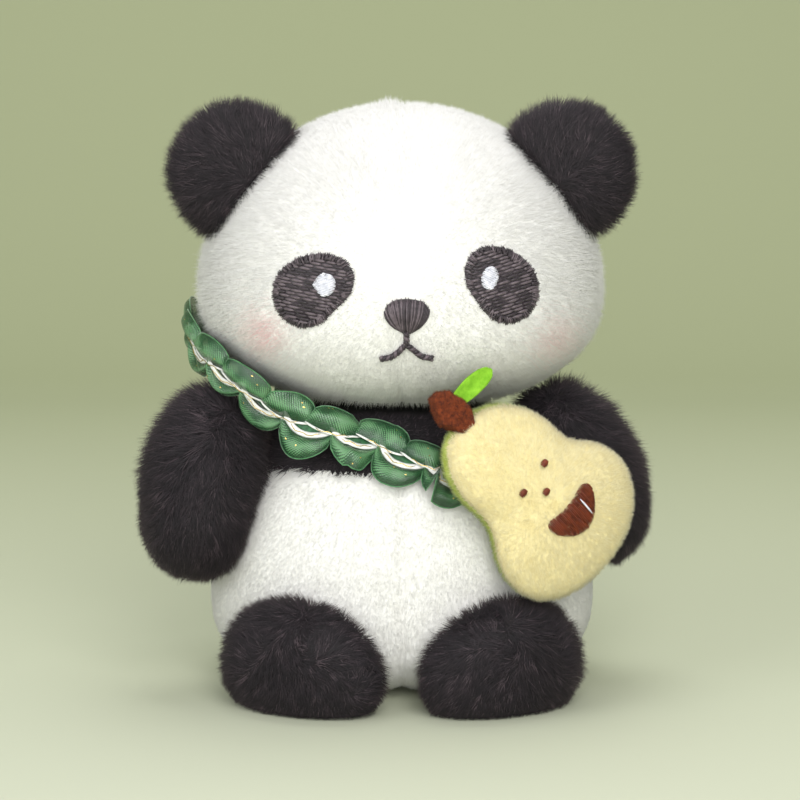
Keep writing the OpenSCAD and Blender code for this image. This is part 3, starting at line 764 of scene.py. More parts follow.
def head_length(p):
    """Short in the middle of the face, longer round it and at the chin, the crown and the cheeks."""
    d = lengths((p - np.array([0, -38, 98]) * MM) / MM)
    chin = smooth_step(83 - p[:, 2] / MM, 0, 8) * smooth_step(-p[:, 1] / MM, 5, 15)
    crown = np.exp(-((lengths((p - np.array([-3, 0, 149]) * MM) / MM) / 3.5) ** 2))
    cheek = smooth_step(np.abs(p[:, 0]) / MM, 40, 49) * smooth_step(130 - p[:, 2] / MM, 0, 20)
    cheek *= np.where(p[:, 0] < 0, 2.4, 1.0)
    return 1.2 + 1.4 * smooth_step(d, 18, 44) + 1.6 * chin + 2.0 * crown + cheek


# Signs of x and y in each quarter of the head and of the torso
QUARTERS = [(-1, -1), (1, -1), (-1, 1), (1, 1)]


def in_quarter(keep, x_sign, y_sign):
    def both(p, n, rng):
        return keep(p, n, rng) & (p[:, 0] * x_sign >= 0) & (p[:, 1] * y_sign >= 0)

    return both


def white_quarters(parts, cover, mats, length, lift, comb, seed, keep, shades, **looks):
    """A pile of white fur on each quarter, denser and finer on the two in front."""
    for i, (part, (x_sign, y_sign)) in enumerate(zip(parts, QUARTERS)):
        per_mm2, width = (8.0, 0.17) if y_sign < 0 else (5.5, 0.22)
        pile(
            f"{part}_pile", covers[cover], cover, "white_plush", mats, per_mm2, length, width, lift, comb,
            seed + i, keep=in_quarter(keep, x_sign, y_sign), shades=shades, **looks,
        )


def above_floor(p, n, rng):
    """Leaves the flat underside bare."""
    return ~((n[:, 2] < -0.8) & (p[:, 2] < 1.5 * MM))


def yoke_edge(p, rng):
    """Height of the line between white and dark pile, a little uneven."""
    return (YOKE_Z + 0.3 * np.sin(p[:, 0] / MM * 0.9) + rng.normal(0, 0.3, len(p))) * MM


def torso_white(p, n, rng):
    return (p[:, 2] < yoke_edge(p, rng)) & above_floor(p, n, rng)


def torso_dark(p, n, rng):
    return (p[:, 2] > yoke_edge(p, rng)) & (n[:, 2] < 0.97)


def yoke_length(p):
    """Longer at the shoulders than across the chest."""
    return 2.6 + 3.2 * smooth_step(np.abs(p[:, 0]) / MM, 18, 30)


def arm_length(p):
    """Longer at the shoulder, where it covers the seam with the torso."""
    return 3.9 + 2.8 * smooth_step(p[:, 2] / MM, 48, 60)


def foot_length(p):
    """Short at the floor, and short where the foot lies against the torso."""
    room = np.array([trees["torso"].find_nearest(Vector(q))[3] for q in p]) / MM
    return np.minimum(1.8 + 2.6 * smooth_step(p[:, 2] / MM, 2, 10), 0.4 + 0.8 * room)


FACE_MIDDLE = np.array([0.6, -40, 100]) * MM
white_quarters(
    ["face_left", "face_right", "head_back_left", "head_back_right"], "head", white_pile, head_length, 0.38,
    away_from(FACE_MIDDLE, 0.35), 20, off_stitches, face_shades,
    clump=0.1, jitter=0.11, swirl=0.1, roundness=0.22,
)
white_quarters(
    ["belly_left", "belly_right", "back_left", "back_right"], "torso", white_pile[:3], 1.4, 0.34,
    downwards, 30, torso_white, white_shades, clump=0.08, jitter=0.1, swirl=0.12, roundness=0.2,
)
pile(
    "yoke_pile", covers["torso"], "torso", "dark_plush", dark_pile, 8.0, yoke_length, 0.2, 0.52, downwards,
    36, keep=torso_dark, shades=dark_shades, swirl=0.4,
)

# Fur of each kind of limb: where its comb starts, in mm outwards, back and up from the limb's middle; how
# far it drops; strands per mm2, length, width, lift and seed; and its other looks
LIMB_FUR = {
    "arm": ((-10, 0, 30), 0.4, 8.5, arm_length, 0.2, 0.42, 40, {"tufts": 0.5, "swirl": 0.55}),
    "foot": (
        (0, 4, 3), 0.1, 9.0, foot_length, 0.2, 0.45, 44, {"tufts": 0.5, "swirl": 0.6, "keep": above_floor}
    ),
    "ear": ((-5, 0, -5), 0.0, 9.5, 4.7, 0.18, 0.47, 48, {"tufts": 0.35, "swirl": 0.35, "jitter": 0.27}),
}
for i, (side, sign) in enumerate([("left", -1), ("right", 1)]):
    for kind, (start, drop, per_mm2, length, width, lift, seed, looks) in LIMB_FUR.items():
        limb = f"{kind}_{side}"
        source = node_middle(*limb_nodes(kind, side)) + np.array(start) * [sign, 1, 1] * MM
        pile(
            f"{limb}_pile", covers[limb], COVERS[limb][2], "dark_plush", dark_pile, per_mm2, length, width,
            lift, away_from(source, drop), seed + i, shades=dark_shades, clump=0.45, per_clump=14, **looks,
        )
pile(
    "tail_pile", covers["tail"], "torso", "white_plush", white_pile[:3], 9.0, 2.4, 0.2, 0.6,
    away_from(node_middle(*TORSO_NODES)), 52, shades=white_shades,
)


def pear_half(sign):
    def keep(p, n, rng):
        return pear_seam_level(p) * sign > 0

    return keep


pile(
    "pear_front_pile", covers["pear"], "pear", "pear_yellow_plush", yellow_pile, 13.0, 1.4, 0.14, 0.5,
    away_from(pear_mid), 54, keep=pear_half(1), clump=0.25, per_clump=12, tufts=0.1, swirl=0.15,
)
pile(
    "pear_back_pile", covers["pear"], "pear", "pear_green_plush", green_pile, 10.0, 1.2, 0.14, 0.55,
    away_from(pear_mid), 55, keep=pear_half(-1), clump=0.3, tufts=0.4,
)


# ---------------------------------------------------------------- stitches and tubes


# Size of a tube's ends, as a share of its middle
TUBE_END = 0.35


def tubes(name, threads, high, mats, body, sides=6, stands_for=()):
    """Oval tubes with narrowed ends, in one piece.

    Each thread is its path, its outward directions, its half width in mm and the index of its material.
    """
    verts, faces, index = [], [], []
    for path, up, wide, material in threads:
        k = len(path)
        along = unit(np.gradient(path, axis=0))
        across = unit(np.cross(along, up))
        top = np.cross(across, along)
        size = np.ones(k)
        size[0] = size[-1] = TUBE_END
        start = len(verts)
        for i in range(k):
            for s in range(sides):
                a = 2 * math.pi * s / sides
                spoke = wide * math.cos(a) * across[i] + high * math.sin(a) * top[i]
                verts.append(path[i] + size[i] * MM * spoke)
        for i in range(k - 1):
            for s in range(sides):
                n = (s + 1) % sides
                p, q = start + i * sides, start + (i + 1) * sides
                faces.append((p + s, p + n, q + n, q + s))
        faces.append(tuple(start + s for s in range(sides))[::-1])
        faces.append(tuple(start + (k - 1) * sides + s for s in range(sides)))
        index += [material] * ((k - 1) * sides + 2)
    mesh_object(name, verts, faces, mats, body, index, stands_for=stands_for)


def laid_on(tree, starts, way, height):
    """Where rays from starts meet a cover, raised by a height in mm, with the normals there."""
    out, nor = [], []
    for start in starts:
        hit, n, _, _ = tree.ray_cast(Vector(start), Vector(way))
        out.append(np.array(hit) + np.array(n) * height * MM)
        nor.append(np.array(n))
    return np.array(out), np.array(nor)


def on_face(q, height):
    """Points on the head's front at x, z (metres), raised by a height in mm, with the normals there."""
    return laid_on(trees["head"], [(x, -CAST_FROM, z) for x, z in q], (0, 1, 0), height)


def pad_mesh(poly, middle, place, rise, rings=7):
    """A domed pad inside an outline: place(points, height) lays it on its surface."""
    verts, faces = [], []
    n = len(poly)
    for k in range(1, rings + 1):
        s = k / rings
        h = rise * (1 - s**4) + 0.05
        verts += place(middle + s * (poly - middle), h)[0].tolist()
    verts += place(middle[None], rise + 0.05)[0].tolist()
    top = len(verts) - 1
    for i in range(n):
        j = (i + 1) % n
        faces.append((top, i, j))
        for k in range(rings - 1):
            p, q = k * n, (k + 1) * n
            faces.append((p + i, q + i, q + j, p + j))
    low = place(poly, -0.5)[0]
    base = len(verts)
    verts += low.tolist()
    for i in range(n):
        j = (i + 1) % n
        p = (rings - 1) * n
        faces.append((p + i, base + i, base + j, p + j))
    faces.append(tuple(base + i for i in range(n))[::-1])
    return verts, faces


def shrunk(poly, middle, by):
    """An outline moved towards its middle by some mm."""
    d = poly - middle
    r = np.linalg.norm(d, axis=1, keepdims=True)
    return middle + d * (1 - by * MM / r)


def rows_in(poly, angle, pitch, stitch, rng):
    """Fill stitches inside an outline: rows at an angle, broken into stitches set off from row to row."""
    a = math.radians(angle)
    u, v = np.array([math.cos(a), math.sin(a)]), np.array([-math.sin(a), math.cos(a)])
    pu, pv = poly @ u, poly @ v
    out = []
    for r, level in enumerate(np.arange(pv.min() + pitch * MM / 2, pv.max(), pitch * MM)):
        cuts = []
        for i in range(len(poly)):
            j = (i + 1) % len(poly)
            if (pv[i] - level) * (pv[j] - level) < 0:
                t = (level - pv[i]) / (pv[j] - pv[i])
                cuts.append(pu[i] + t * (pu[j] - pu[i]))
        if len(cuts) < 2:
            continue
        low, high = min(cuts), max(cuts)
        at = low - rng.uniform(0, stitch) * MM - (r % 3) * stitch * MM / 3
        while at < high:
            s, e = max(low, at), min(high, at + stitch * MM * rng.uniform(0.85, 1.1))
            if e - s > 0.5 * MM:
                out.append((s * u + level * v, e * u + level * v))
            at = e if e > at else at + stitch * MM
    return out


def laid_stitch(a, b, place, low, rise, steps=4):
    """A stitch from a to b that dips at its ends."""
    t = np.linspace(0, 1, steps + 1)
    q = a + (b - a) * t[:, None]
    p, n = place(q, 0)
    h = low + rise * np.sin(np.pi * t) ** 0.6
    return p + n * (h * MM)[:, None], n


# Height of an eye patch's pad and width of its border, in mm
PATCH_RISE = 0.55
PATCH_BORDER = 1.9
# The dark thread, and its lighter copy as painted highlight
FACE_THREADS = [thread_dark, thread_painted_highlight]


def eye_patch(node, fill_angle, seed):
    """A padded patch: fill rows in the middle and short radial stitches round the edge, some of them at
    random in the lighter thread as painted highlight.
    """
    rng = np.random.default_rng(seed)
    middle = outlines[node].mean(0)
    shape = middle + 0.97 * (outlines[node] - middle)
    poly = resampled(shape, 0.45)
    verts, faces = pad_mesh(resampled(shape, 1.2), middle, on_face, PATCH_RISE)
    mesh_object(f"{node}_pad", verts, faces, [thread_dark], "head", stands_for=[node])
    threads = []
    for a, b in rows_in(shrunk(poly, middle, PATCH_BORDER - 0.7), fill_angle, 0.82, 3.0, rng):
        stitch = laid_stitch(a, b, on_face, PATCH_RISE - 0.02, 0.28)
        # Over half the rows take the lighter thread, a painted highlight on their raised tops
        threads.append((*stitch, 0.36, rng.random() < 0.55))
    inner = shrunk(poly, middle, PATCH_BORDER)
    for i in range(len(poly)):
        out = unit(poly[i] - middle)
        start = poly[i] + out * rng.uniform(-0.1, 0.45) * MM
        end = inner[(i + rng.integers(-1, 2)) % len(poly)] + out * rng.uniform(-0.5, 0.3) * MM
        t = np.linspace(0, 1, 5)
        p, n = on_face(start + (end - start) * t[:, None], 0)
        h = 0.12 + (PATCH_RISE + 0.28 - 0.12) * np.sin(np.pi * (0.08 + 0.74 * t)) ** 0.8
        # Some border stitches take the lighter thread as painted highlight too
        threads.append((p + n * (h * MM)[:, None], n, 0.22, rng.random() < 0.4))
    tubes(f"{node}_threads", threads, 0.28, FACE_THREADS, "head")


eye_patch("eye_patch_left", -8, 61)
eye_patch("eye_patch_right", 14, 62)

for side, seed in (("left", 63), ("right", 64)):
    node = f"eye_highlight_{side}"
    poly = outline_of(node)
    if side == "left":
        poly = hull(np.vstack([poly, poly.mean(0) + np.array([(-3.1, -0.2), (-2.9, 0.3)]) * MM]))
    verts, faces = pad_mesh(
        resampled(poly, 0.8), poly.mean(0), lambda q, h: on_face(q, h + 0.8), 0.3, rings=4
    )
    mesh_object(f"{node}_pad", verts, faces, [thread_white], "head", stands_for=[node])
    rows = rows_in(poly, -12 if side == "left" else 20, 0.4, 9, np.random.default_rng(seed))
    threads = [(*laid_stitch(a, b, on_face, 1.05, 0.22), 0.23, 0) for a, b in rows]
    tubes(f"{node}_threads", threads, 0.15, [thread_white], "head")


# Half outline of the nose from its top middle to its tip, as shares of its half width and its height
NOSE_SHAPE = np.array([
    (0, 0), (0.4, 0.02), (0.7, 0.08), (0.9, 0.18), (1.0, 0.32), (0.95, 0.44), (0.8, 0.58), (0.64, 0.73),
    (0.42, 0.87), (0.16, 0.97), (0, 1.0),
])
NOSE_THREADS = 36


def nose():
    """Satin threads that fan from the nose's broad top to its lower tip, half of them at random in the
    lighter thread as painted highlight.
    """
    rng = np.random.default_rng(65)
    p = node_points("nose_embroidery")[:, [0, 2]]
    low, high = p.min(0), p.max(0)
    middle = np.array([(low[0] + high[0]) / 2, high[1] - 1.4 * MM])
    size = np.array([(high[0] - low[0]) / 2 * 0.94, -(high[1] - low[1]) * 0.93])
    right = middle + NOSE_SHAPE * size
    left = (middle + NOSE_SHAPE * size * [-1, 1])[1:-1]
    poly = np.vstack([right, left[::-1]])[::-1]
    verts, faces = pad_mesh(resampled(poly, 0.8), middle + size * [0, 0.45], on_face, 1.0)
    mesh_object(
        "nose_pad", verts, faces, [thread_dark], "head", stands_for=["nose_embroidery"]
    )
    threads = []
    top, side = NOSE_SHAPE[:5], NOSE_SHAPE[4:]
    for i in range(NOSE_THREADS):
        s = -1 + 2 * i / (NOSE_THREADS - 1)
        m = abs(s)
        start = np.array([s * 1.02, np.interp(m, top[:, 0], top[:, 1]) - rng.uniform(-0.01, 0.05)])
        reach = 0.06 + 0.3 * m**1.5
        end = np.array([math.copysign(reach, s), np.interp(-reach, -side[:, 0], side[:, 1])])
        t = np.linspace(0, 1, 7)[:, None]
        bow = np.hstack([0.16 * s * np.sin(np.pi * t), 0 * t])
        p, n = on_face(middle + (start + (end - start) * t + bow) * size, 0)
        rise = 0.3 + 1.15 * np.sin(np.pi * (0.06 + 0.88 * t)) * (1 - 0.35 * s * s)
        threads.append((p + n * rise * MM, n, 0.24, rng.random() < 0.5))
    tubes("nose_threads", threads, 0.3, FACE_THREADS, "head")


nose()


def rope(path, normal, radius, pitch):
    """Two strands twisted round a path, each with its outward directions; radius and pitch in mm."""
    run = lengths_along(path)
    s = np.linspace(0, run[-1], max(8, int(run[-1] / (0.28 * MM))))
    p, n = along_path(path, run, s), unit(along_path(normal, run, s))
    along = unit(np.gradient(p, axis=0))
    side = unit(np.cross(along, n))
    out = []
    for k in range(2):
        turn = 2 * math.pi * (s / (pitch * MM) + k / 2)
        offset = radius * MM * (np.cos(turn)[:, None] * side + np.sin(turn)[:, None] * n)
        out.append((p + offset, unit(offset)))
    return out


def mouth():
    """Twisted stitches: one stem below the nose and two legs that flatten out, the second strand of each rope
    in the lighter thread as painted highlight on the twist.
    """
    p = node_points("mouth_embroidery") / MM
    left, right = p[:, 0].min(), p[:, 0].max()
    low, high = p[:, 2].min(), p[:, 2].max()
    cx = p[p[:, 2] > high - 1.5][:, 0].mean()
    lines = [
        [(cx, high + 1.0), (cx + 0.1, high - 1.0), (cx - 0.1, high - 2.4)],
        [(cx - 0.2, high - 2.2), (cx - 1.9, high - 3.7), (cx - 3.8, low + 1.3), (left + 0.3, low + 0.75)],
        [(cx + 0.2, high - 2.2), (cx + 1.7, high - 3.5), (cx + 3.6, low + 1.4), (right - 0.3, low + 0.9)],
    ]
    threads = []
    for line in lines:
        q = np.array(line) * MM
        fine = along_path(q, np.arange(len(q)), np.linspace(0, len(q) - 1, 14))
        strands = rope(*on_face(fine, 0.75), 0.42, 2.1)
        # Strand k takes thread k: the second strand is the painted highlight
        threads += [(strand, up, 0.56, k) for k, (strand, up) in enumerate(strands)]
    node = "mouth_embroidery"
    tubes("mouth_threads", threads, 0.45, FACE_THREADS, "head", stands_for=[node])


mouth()


# ---------------------------------------------------------------- pear details


def pear_point(q, height):
    """Points on the pear's front at side, up (metres from its middle), raised by a height in mm."""
    starts = [pear_mid + a * pear_side + b * pear_up + pear_axis * PEAR_CAST_FROM for a, b in q]
    return laid_on(trees["pear"], starts, -pear_axis, height)


def in_pear(node):
    """Outline of a pear node in the pear's own side and up directions."""
    d = node_points(node) - pear_mid
    return np.stack([d @ pear_side, d @ pear_up], 1)


# Share of the way along the bean where white shows between its threads
GAP_AT = 0.24


def bean_outline():
    """The bean's outline, a little plumper than its CAD pad, with its ends bent up to the hollow side."""
    p = resampled(hull(in_pear("pear_core")), 0.6)
    middle = p.mean(0)
    long_way, short_way = np.linalg.svd(p - middle)[2]
    if short_way @ [-0.8, 0.6] < 0:
        short_way = -short_way
    a, b = (p - middle) @ long_way, (p - middle) @ short_way
    end = a / np.abs(a).max()
    b = b * 1.24 + (1.5 * end**2 - 0.55) * MM
    return middle + 1.05 * a[:, None] * long_way + b[:, None] * short_way


core_outline = bean_outline()
verts, faces = pad_mesh(resampled(core_outline, 0.8), core_outline.mean(0), pear_point, 0.7)
mesh_object("pear_core_pad", verts, faces, [thread_brown], "pear", stands_for=["pear_core"])
rows = rows_in(core_outline, 84, 0.44, 30, np.random.default_rng(70))
laid = [laid_stitch(a, b, pear_point, 0.7, 0.5, 6) for a, b in rows]
shade = np.random.default_rng(71).integers(0, 2, len(laid))
threads = [(p, n, 0.2, k) for (p, n), k in zip(laid, shade)]
tubes("pear_core_threads", threads, 0.3, [thread_brown, felt_brown], "pear")
gap, gap_up = (part[1:-1] for part in laid[int(len(laid) * GAP_AT)])
gap_thread = (gap + gap_up * 0.35 * MM, gap_up, 0.26, 0)
tubes("pear_core_gap", [gap_thread], 0.2, [thread_white], "pear")

# Points of the three seeds, told apart by their distance from each seed's first point, in mm
SEED_SIZE = 3.2
SEED_STITCHES = 5
seed_points = in_pear("pear_seeds")
seeds_mid = []
rest = list(range(len(seed_points)))
while rest:
    first = seed_points[rest[0]]
    group = [i for i in rest if np.linalg.norm(seed_points[i] - first) < SEED_SIZE * MM]
    seeds_mid.append(seed_points[group].mean(0))
    rest = [i for i in rest if i not in group]
threads = []
for middle in seeds_mid:
    for k in range(SEED_STITCHES):
        off = k - SEED_STITCHES // 2
        x = middle[0] + off * 0.38 * MM
        reach = math.sqrt(1 - (abs(off) / 2.8) ** 2) * 0.95 * MM
        ends = np.array([[x, middle[1] - reach], [x, middle[1] + reach]])
        threads.append((*laid_stitch(*ends, pear_point, 0.75, 0.5), 0.24, 0))
tubes("pear_seed_threads", threads, 0.25, [thread_brown], "pear", stands_for=["pear_seeds"])


def stem():
    """Felt stem: a lumpy block with soft edges and fuzz, stretched and moved forward a little."""
    tree = tree_of(["pear_stem"])
    centre = node_middle("pear_stem")
    dirs, tris = ball(5)
    co = relaxed(cast_in(tree, centre, dirs), tris, 14, back=0.3)
    noise = relaxed(np.random.default_rng(72).normal(0, 1, (len(co), 3)), tris, 5, back=0)
    co = co + dirs * (noise[:, :1] / np.abs(noise[:, 0]).max() * 0.4 * MM)
    co = co + 0.16 * ((co - centre) @ pear_up)[:, None] * pear_up
    co = co - 1.5 * MM * pear_up + 1.0 * MM * pear_axis
    o = mesh_object("pear_stem_felt", co, tris, [felt_brown], "pear", stands_for=["pear_stem"])
    pile(
        "pear_stem_fuzz", o, "pear", "brown_felt", brown_fuzz, 22, 0.75, 0.11, 0.6, away_from(centre), 73,
        clump=0.1, jitter=0.6,
    )


stem()


def leaf():
    """Felt leaf: a long lens with a fold along its middle, curving up from the stem."""
    centre = node_middle("pear_leaf")
    rel = node_points("pear_leaf") - centre
    way = np.linalg.svd(rel)[2][0]
    way = way * np.sign(way @ pear_side)
    across = unit(np.cross(pear_axis, way))
    half_l = np.abs(rel @ way).max() * 1.06
    centre = centre - 1.2 * MM * way - 1.6 * MM * pear_axis
    half_w = np.abs(rel @ across).max()
    rows, cols = 16, 8
    verts = []
    for layer in (1, -1):
        for i in range(rows + 1):
            s = -1 + 2 * i / rows
            root, tip = 0.72 + 0.28 * smooth_step(s, -1, 0), math.sqrt(1 - max(s, 0) ** 2.6)
            w = half_w * 0.98 * root * tip + 0.2 * MM
            for j in range(cols + 1):
                v = -1 + 2 * j / cols
                fold = -0.55 * MM * (1 - abs(v)) * (1 - s * s)
                curl = 0.8 * MM * s * s + 0.3 * MM * v * v
                rise = fold + curl + layer * 0.42 * MM * (1 - 0.5 * v * v)
                verts.append(centre + s * half_l * way + v * w * across + rise * pear_axis)
    faces = []
    n = (rows + 1) * (cols + 1)
    for a, b, c, d in grid_quads(rows, cols):
        faces += [(a, d, c, b), (n + a, n + b, n + c, n + d)]
    edge = [i * (cols + 1) for i in range(rows + 1)]
    edge += [rows * (cols + 1) + j for j in range(1, cols + 1)]
    edge += [i * (cols + 1) + cols for i in range(rows - 1, -1, -1)]
    edge += list(range(cols - 1, 0, -1))
    for i in range(len(edge)):
        a, b = edge[i], edge[(i + 1) % len(edge)]
        faces.append((a, b, n + b, n + a))
    o = mesh_object(
        "pear_leaf_felt", verts, faces, [felt_leaf], "pear", stands_for=["pear_leaf"]
    )
    bm = bmesh.new()
    bm.from_mesh(o.data)
    bmesh.ops.recalc_face_normals(bm, faces=bm.faces)
    bm.to_mesh(o.data)
    bm.free()
    pile(
        "pear_leaf_fuzz", o, "pear", "leaf_felt", leaf_fuzz, 14, 0.5, 0.09, 0.6,
        lambda q, n: np.broadcast_to(way, q.shape), 74, clump=0.1, jitter=0.6,
    )


leaf()


# ---------------------------------------------------------------- strap

# Route of the strap in mm, as in the CAD: from the pear up over the chest to the left, and round the back
STRAP_POINTS = [
    (27.84, -26.61, 52), (22.61, -29.02, 54), (15.7, -31.16, 56.5), (7.6, -31.37, 59.5),
    (-0.64, -29.53, 62.5), (-7.55, -26.24, 65.2), (-19.5, -27, 68.4), (-29.5, -23.5, 72),
    (-38.5, -21.5, 78), (-46, -17.2, 83.4), (-52, -7.5, 87), (-55, 4, 91.5), (-54, 15, 91),
    (-49, 24, 86), (-41, 30, 79.5), (-31, 32, 73), (-20, 30.5, 68), (-11.26, 27.79, 63),
    (-4.22, 32.17, 59), (6.03, 34.38, 55.5), (17.5, 33.06, 53), (28.13, 28.88, 51),
    (36.14, 21.84, 50), (40.75, 14.55, 49.5), (44.03, 4.96, 49.5), (44.03, -4.96, 49.5),
    (41.52, -13.45, 49.2), (37.45, -20.26, 48.8), (32.11, -25.75, 48.5),
]
SPLINE_STEPS = 12


def spline(points):
    """Smooth curve through points, with its length so far."""
    p = np.array(points, float)
    ext = np.vstack([2 * p[0] - p[1], p, 2 * p[-1] - p[-2]])
    out = []
    for i in range(len(p) - 1):
        a, b, c, d = ext[i : i + 4]
        for u in np.linspace(0, 1, SPLINE_STEPS, endpoint=False):
            square, cube = 2 * a - 5 * b + 4 * c - d, 3 * b - a - 3 * c + d
            out.append(0.5 * (2 * b + (c - a) * u + square * u * u + cube * u**3))
    out.append(p[-1])
    out = np.array(out)
    return out, lengths_along(out)


strap_line, strap_run = spline(STRAP_POINTS)
torso_tree = tree_of(TORSO_CLOTH)


def strap_frame(s):
    """Point, along, across and out of the strap at distances s, in mm and unit vectors."""
    p, behind, ahead = (along_path(strap_line, strap_run, s + shift) for shift in (0, -1.5, 1.5))
    along = unit(ahead - behind)
    out = []
    for q in p:
        near = torso_tree.find_nearest(Vector((q[0] * MM, q[1] * MM, min(q[2], 66) * MM)))
        away = np.array(near[1])
        level = unit(np.array([q[0], 1.3 * q[1], 0]))
        w = smooth_step(q[2], 66, 76)
        out.append(unit((1 - w) * away + w * level))
    out = np.array(out)
    across = unit(np.cross(out, along))
    return p, along, across, unit(np.cross(along, across))


# The ribbon loops alternate below and above the strap's middle; lengths along it are in mm
LOOP_STEP = 6.5
LOOP_HALF = 7.2
LOOP_ROWS, LOOP_COLS = 14, 8
LAST_FRONT_LOOP = 16
# Stretches at the strap's start and end where the pear and the right arm press the loops flat
PRESSED_START, PRESSED_END = 13, 52
strap_len = strap_run[-1]
last_loop = int(strap_len / LOOP_STEP) - 1


def petal_grid(i):
    """Front and back points of one ribbon loop, its white inner edge, its outward directions and its run."""
    lower = i % 2 == 0
    side = 1 if lower else -1
    mid = (i + 0.7) * LOOP_STEP
    pressed = mid < PRESSED_START or mid > strap_len - PRESSED_END
    wide, bulge = (4.4, 0.5) if pressed else (6.0, 2.1)
    rng = np.random.default_rng(900 + i)
    wide *= rng.uniform(0.93, 1.07)
    lean = rng.uniform(-0.5, 0.5)
    u = np.linspace(-1, 1, LOOP_ROWS + 1)
    s = mid + min(LOOP_HALF, mid, strap_len - mid) * u
    c, along, across, out = strap_frame(s)
    across = across * side
    # The lower loops are narrower where the left arm lifts against them
    wide *= 1 - 0.38 * lower * smooth_step(-c[LOOP_ROWS // 2, 0], 30, 44)
    round_end = np.sqrt(np.maximum(0, 1 - u**2))
    inner = -0.5 + 3.7 * (1 - u**2) if lower else 0.5 - 1.3 * (1 - u**2)
    layers = []
    for front in (1, -1):
        pts = np.zeros((LOOP_ROWS + 1, LOOP_COLS + 1, 3))
        for j in range(LOOP_COLS + 1):
            v = j / LOOP_COLS
            reach = inner + (wide + (0 if lower else 1.2)) * v * round_end**0.7
            hump = math.sin(math.pi * v) ** 0.8 * round_end**0.8
            crease = 1 + 0.12 * np.sin(2.5 * math.pi * v + lean * 6)
            if front > 0:
                rise = (0.3 if lower else 0.75) + bulge * hump * crease + 0.5 * u
            else:
                rise = (0.05 if lower else 0.35) - 0.35 * bulge * hump + 0.3 * u
            shift = (lean * v * round_end)[:, None] * along
            pts[:, j] = c + reach[:, None] * across + rise[:, None] * out + shift
        layers.append(pts)
    inset, rise = (0.55, 0.55) if lower else (0.1, 1.0)
    edge = c + (inner - inset)[:, None] * across + (rise + 0.5 * u + 0.3 * round_end)[:, None] * out
    return layers, edge, out, s


def ribbon(name, first, last, node):
    """Sheer loops first to last, with a hem along each outer edge."""
    verts, faces, uvs, hems = [], [], [], []
    for i in range(first, last + 1):
        layers, _, out, run = petal_grid(i)
        line = LOOP_COLS + 1
        for k, layer in enumerate(layers):
            start = len(verts)
            verts += (layer.reshape(-1, 3) * MM).tolist()
            for quad in grid_quads(LOOP_ROWS, LOOP_COLS):
                quad = quad if (k == 0) == (i % 2 == 0) else quad[::-1]
                faces.append([start + q for q in quad])
                uvs += [(run[q // line] / 10, q % line / LOOP_COLS * 0.7 + 0.7 * k) for q in quad]
        hems.append((layers[0][:, -1] * MM, out, 0.2, 0))
    o = mesh_object(name, verts, faces, [ribbon_green], "torso", stands_for=[node])
    layer = o.data.uv_layers.new(name="ribbon")
    layer.data.foreach_set("uv", np.array(uvs, np.float32).ravel())
    tubes(f"{name}_hem", hems, 0.14, [hem_green], "torso", sides=4)


ribbon("strap_loops_front", 0, LAST_FRONT_LOOP, "strap_ribbon_front")
ribbon("strap_loops_back", LAST_FRONT_LOOP + 1, last_loop, "strap_ribbon_back")


def cord():
    """White inner edges of the loops, the ribbon that runs behind them, gold thread and gold flecks."""
    edges, golds, flecks, fleck_faces = [], [], [], []
    rng = np.random.default_rng(80)
    for i in range(last_loop + 1):
        layers, edge, out, _ = petal_grid(i)
        edges.append((edge * MM, out, 0.8 if i % 2 == 0 else 0.32, 0))
        side = unit(np.cross(np.gradient(edge, axis=0), out))
        waver = 0.25 * np.sin(np.arange(len(edge)) * 1.7 + i)[:, None] * side
        golds.append(((edge + 0.3 * out + waver)[3:-3] * MM, out[3:-3], 0.11, 0))
        front = layers[0]
        for _ in range(2):
            a, b = rng.integers(3, front.shape[0] - 3), rng.integers(1, front.shape[1] - 1)
            p, q, r = front[a, b], front[a + 1, b], front[a, b + 1]
            n = unit(np.cross(q - p, r - p))
            n = n * np.sign(n @ out[a])
            x = unit(q - p) * rng.uniform(0.2, 0.4)
            y = unit(np.cross(n, q - p)) * rng.uniform(0.12, 0.3)
            k = len(flecks)
            flecks += [(p + n * 0.12 + d) * MM for d in (x, y, -x, -y)]
            fleck_faces.append((k, k + 1, k + 2, k + 3))
    tubes("strap_edge_bands", edges, 0.2, [satin_white], "torso", stands_for=["strap_cord"])
    tubes("strap_gold_thread", golds, 0.11, [gold], "torso", sides=4)
    mesh_object("strap_gold_flecks", flecks, fleck_faces, [gold], "torso", shade=False)
    s = np.arange(0, strap_len, 1.5)
    c, _, across, out = strap_frame(s)
    waver = (0.5 * np.sin(2 * math.pi * s / 13))[:, None] * across
    core = ((c + waver + 0.1 * out) * MM, out, 2.1, 0)
    tubes("strap_core", [core], 0.18, [core_green], "torso")


cord()

# The tab that ties the pear to the strap: a small knot of ribbon behind the pear
tab_c = node_middle("pear_tab")
dirs, tris = ball(4)
flat = across_normal(dirs, pear_axis) * 3.0 * MM + (dirs @ pear_axis)[:, None] * pear_axis * 0.45 * MM
ripple = 1 + 0.08 * np.sin(7 * np.arctan2(dirs @ pear_up, dirs @ pear_side))[:, None]
knot = mesh_object(
    "pear_tab_knot", tab_c + flat * ripple, tris, [ribbon_green], "pear",
    stands_for=["pear_tab"],
)
knot.data.uv_layers.new(name="ribbon")


# ---------------------------------------------------------------- stage, light and camera


STAGE_HALF = 9.0
# Where the floor starts to curve, the radius of the curve, and the top of the backdrop, in metres
SWEEP_Y, SWEEP_RADIUS, BACKDROP_TOP = 0.45, 0.35, 1.8


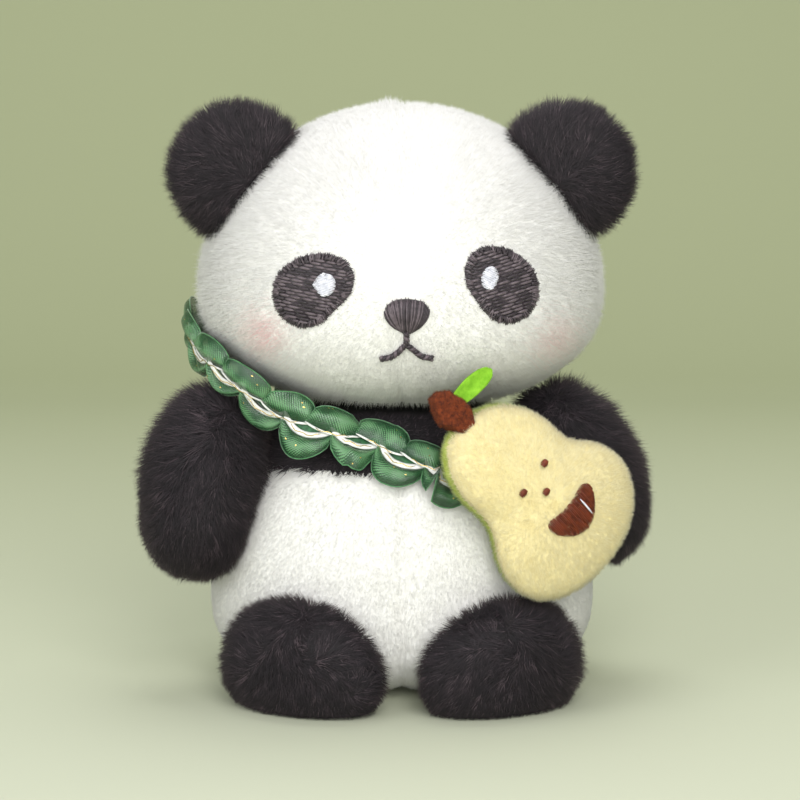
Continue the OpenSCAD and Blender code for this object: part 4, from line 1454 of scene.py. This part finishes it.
def stage():
    """Pale floor that curves up into a backdrop, darker towards the back and up the backdrop as painted
    shade.
    """
    rows = [(y, 0) for y in (-STAGE_HALF, -1.5, -0.6, 0.0, SWEEP_Y)]
    for a in np.radians(np.linspace(0, 90, 12)[1:]):
        rows.append((SWEEP_Y + SWEEP_RADIUS * math.sin(a), SWEEP_RADIUS - SWEEP_RADIUS * math.cos(a)))
    rows.append((SWEEP_Y + SWEEP_RADIUS, BACKDROP_TOP))
    verts = [(x, y, z) for y, z in rows for x in (-STAGE_HALF, STAGE_HALF)]
    faces = [(2 * i, 2 * i + 1, 2 * i + 3, 2 * i + 2) for i in range(len(rows) - 1)]
    me = mesh_of("stage", verts, faces)
    me.polygons.foreach_set("use_smooth", np.full(len(faces), True))
    floor = shader("stage_paper", (0.45, 0.48, 0.31), 0.95)
    place = add_node(floor, "TexCoord").outputs["Object"]
    y = add_node(floor, "SeparateXYZ", {0: place}).outputs["Y"]
    # Painted shade: the paper darkens from the front of the floor towards the back and stays darker up the
    # backdrop
    depth = add_node(floor, "MapRange", {"Value": y, "From Min": -0.15, "From Max": 0.5})
    colour_by(floor, depth.outputs["Result"], (0, (0.55, 0.575, 0.45)), (1, (0.36, 0.39, 0.235)))
    me.materials.append(floor)
    placed("stage", me)


def lamp(name, place, aim_height, size, power, colour=(1, 1, 1)):
    """A soft disc light at a place in metres, aimed at a height above the middle of the floor."""
    data = bpy.data.lights.new(name, "AREA")
    data.shape = "DISK"
    data.size = size
    data.energy = power
    data.color = colour
    o = placed(name, data)
    o.location = place
    o.rotation_mode = "QUATERNION"
    o.rotation_quaternion = (Vector((0, 0, aim_height)) - Vector(place)).to_track_quat("-Z", "Y")


stage()
lamp("key", (0.2, -0.8, 0.75), 0.08, 0.7, 5.2, (1.0, 0.99, 0.975))
lamp("fill", (-0.8, -0.6, 0.5), 0.08, 0.8, 3.6, (0.98, 0.99, 1.0))
lamp("front", (0.05, -1.05, 0.32), 0.075, 0.6, 4.8)
lamp("top", (0.05, 0.25, 0.9), 0.1, 0.6, 3.6)
world = bpy.data.worlds.new("soft_sky")
world.use_nodes = True
sky = world.node_tree.nodes["Background"]
sky.inputs["Color"].default_value = (0.96, 0.97, 0.96, 1)
sky.inputs["Strength"].default_value = 0.5
bpy.context.scene.world = world
bpy.context.scene.view_settings.view_transform = "Standard"

# Degrees above level, metres from the aim, and the point that the camera aims at
CAMERA_TILT = 9
CAMERA_AWAY = 0.7
AIM = Vector((-0.0005, 0, 0.072))
camera = bpy.data.cameras.new("camera")
camera.sensor_width = 36
camera.lens = 120.2
camera.clip_start = 0.01
eye = placed("camera", camera)
tilt = math.radians(CAMERA_TILT)
eye.location = AIM + CAMERA_AWAY * Vector((0, -math.cos(tilt), math.sin(tilt)))
eye.rotation_euler = (math.radians(90 - CAMERA_TILT), 0, 0)
bpy.context.scene.camera = eye
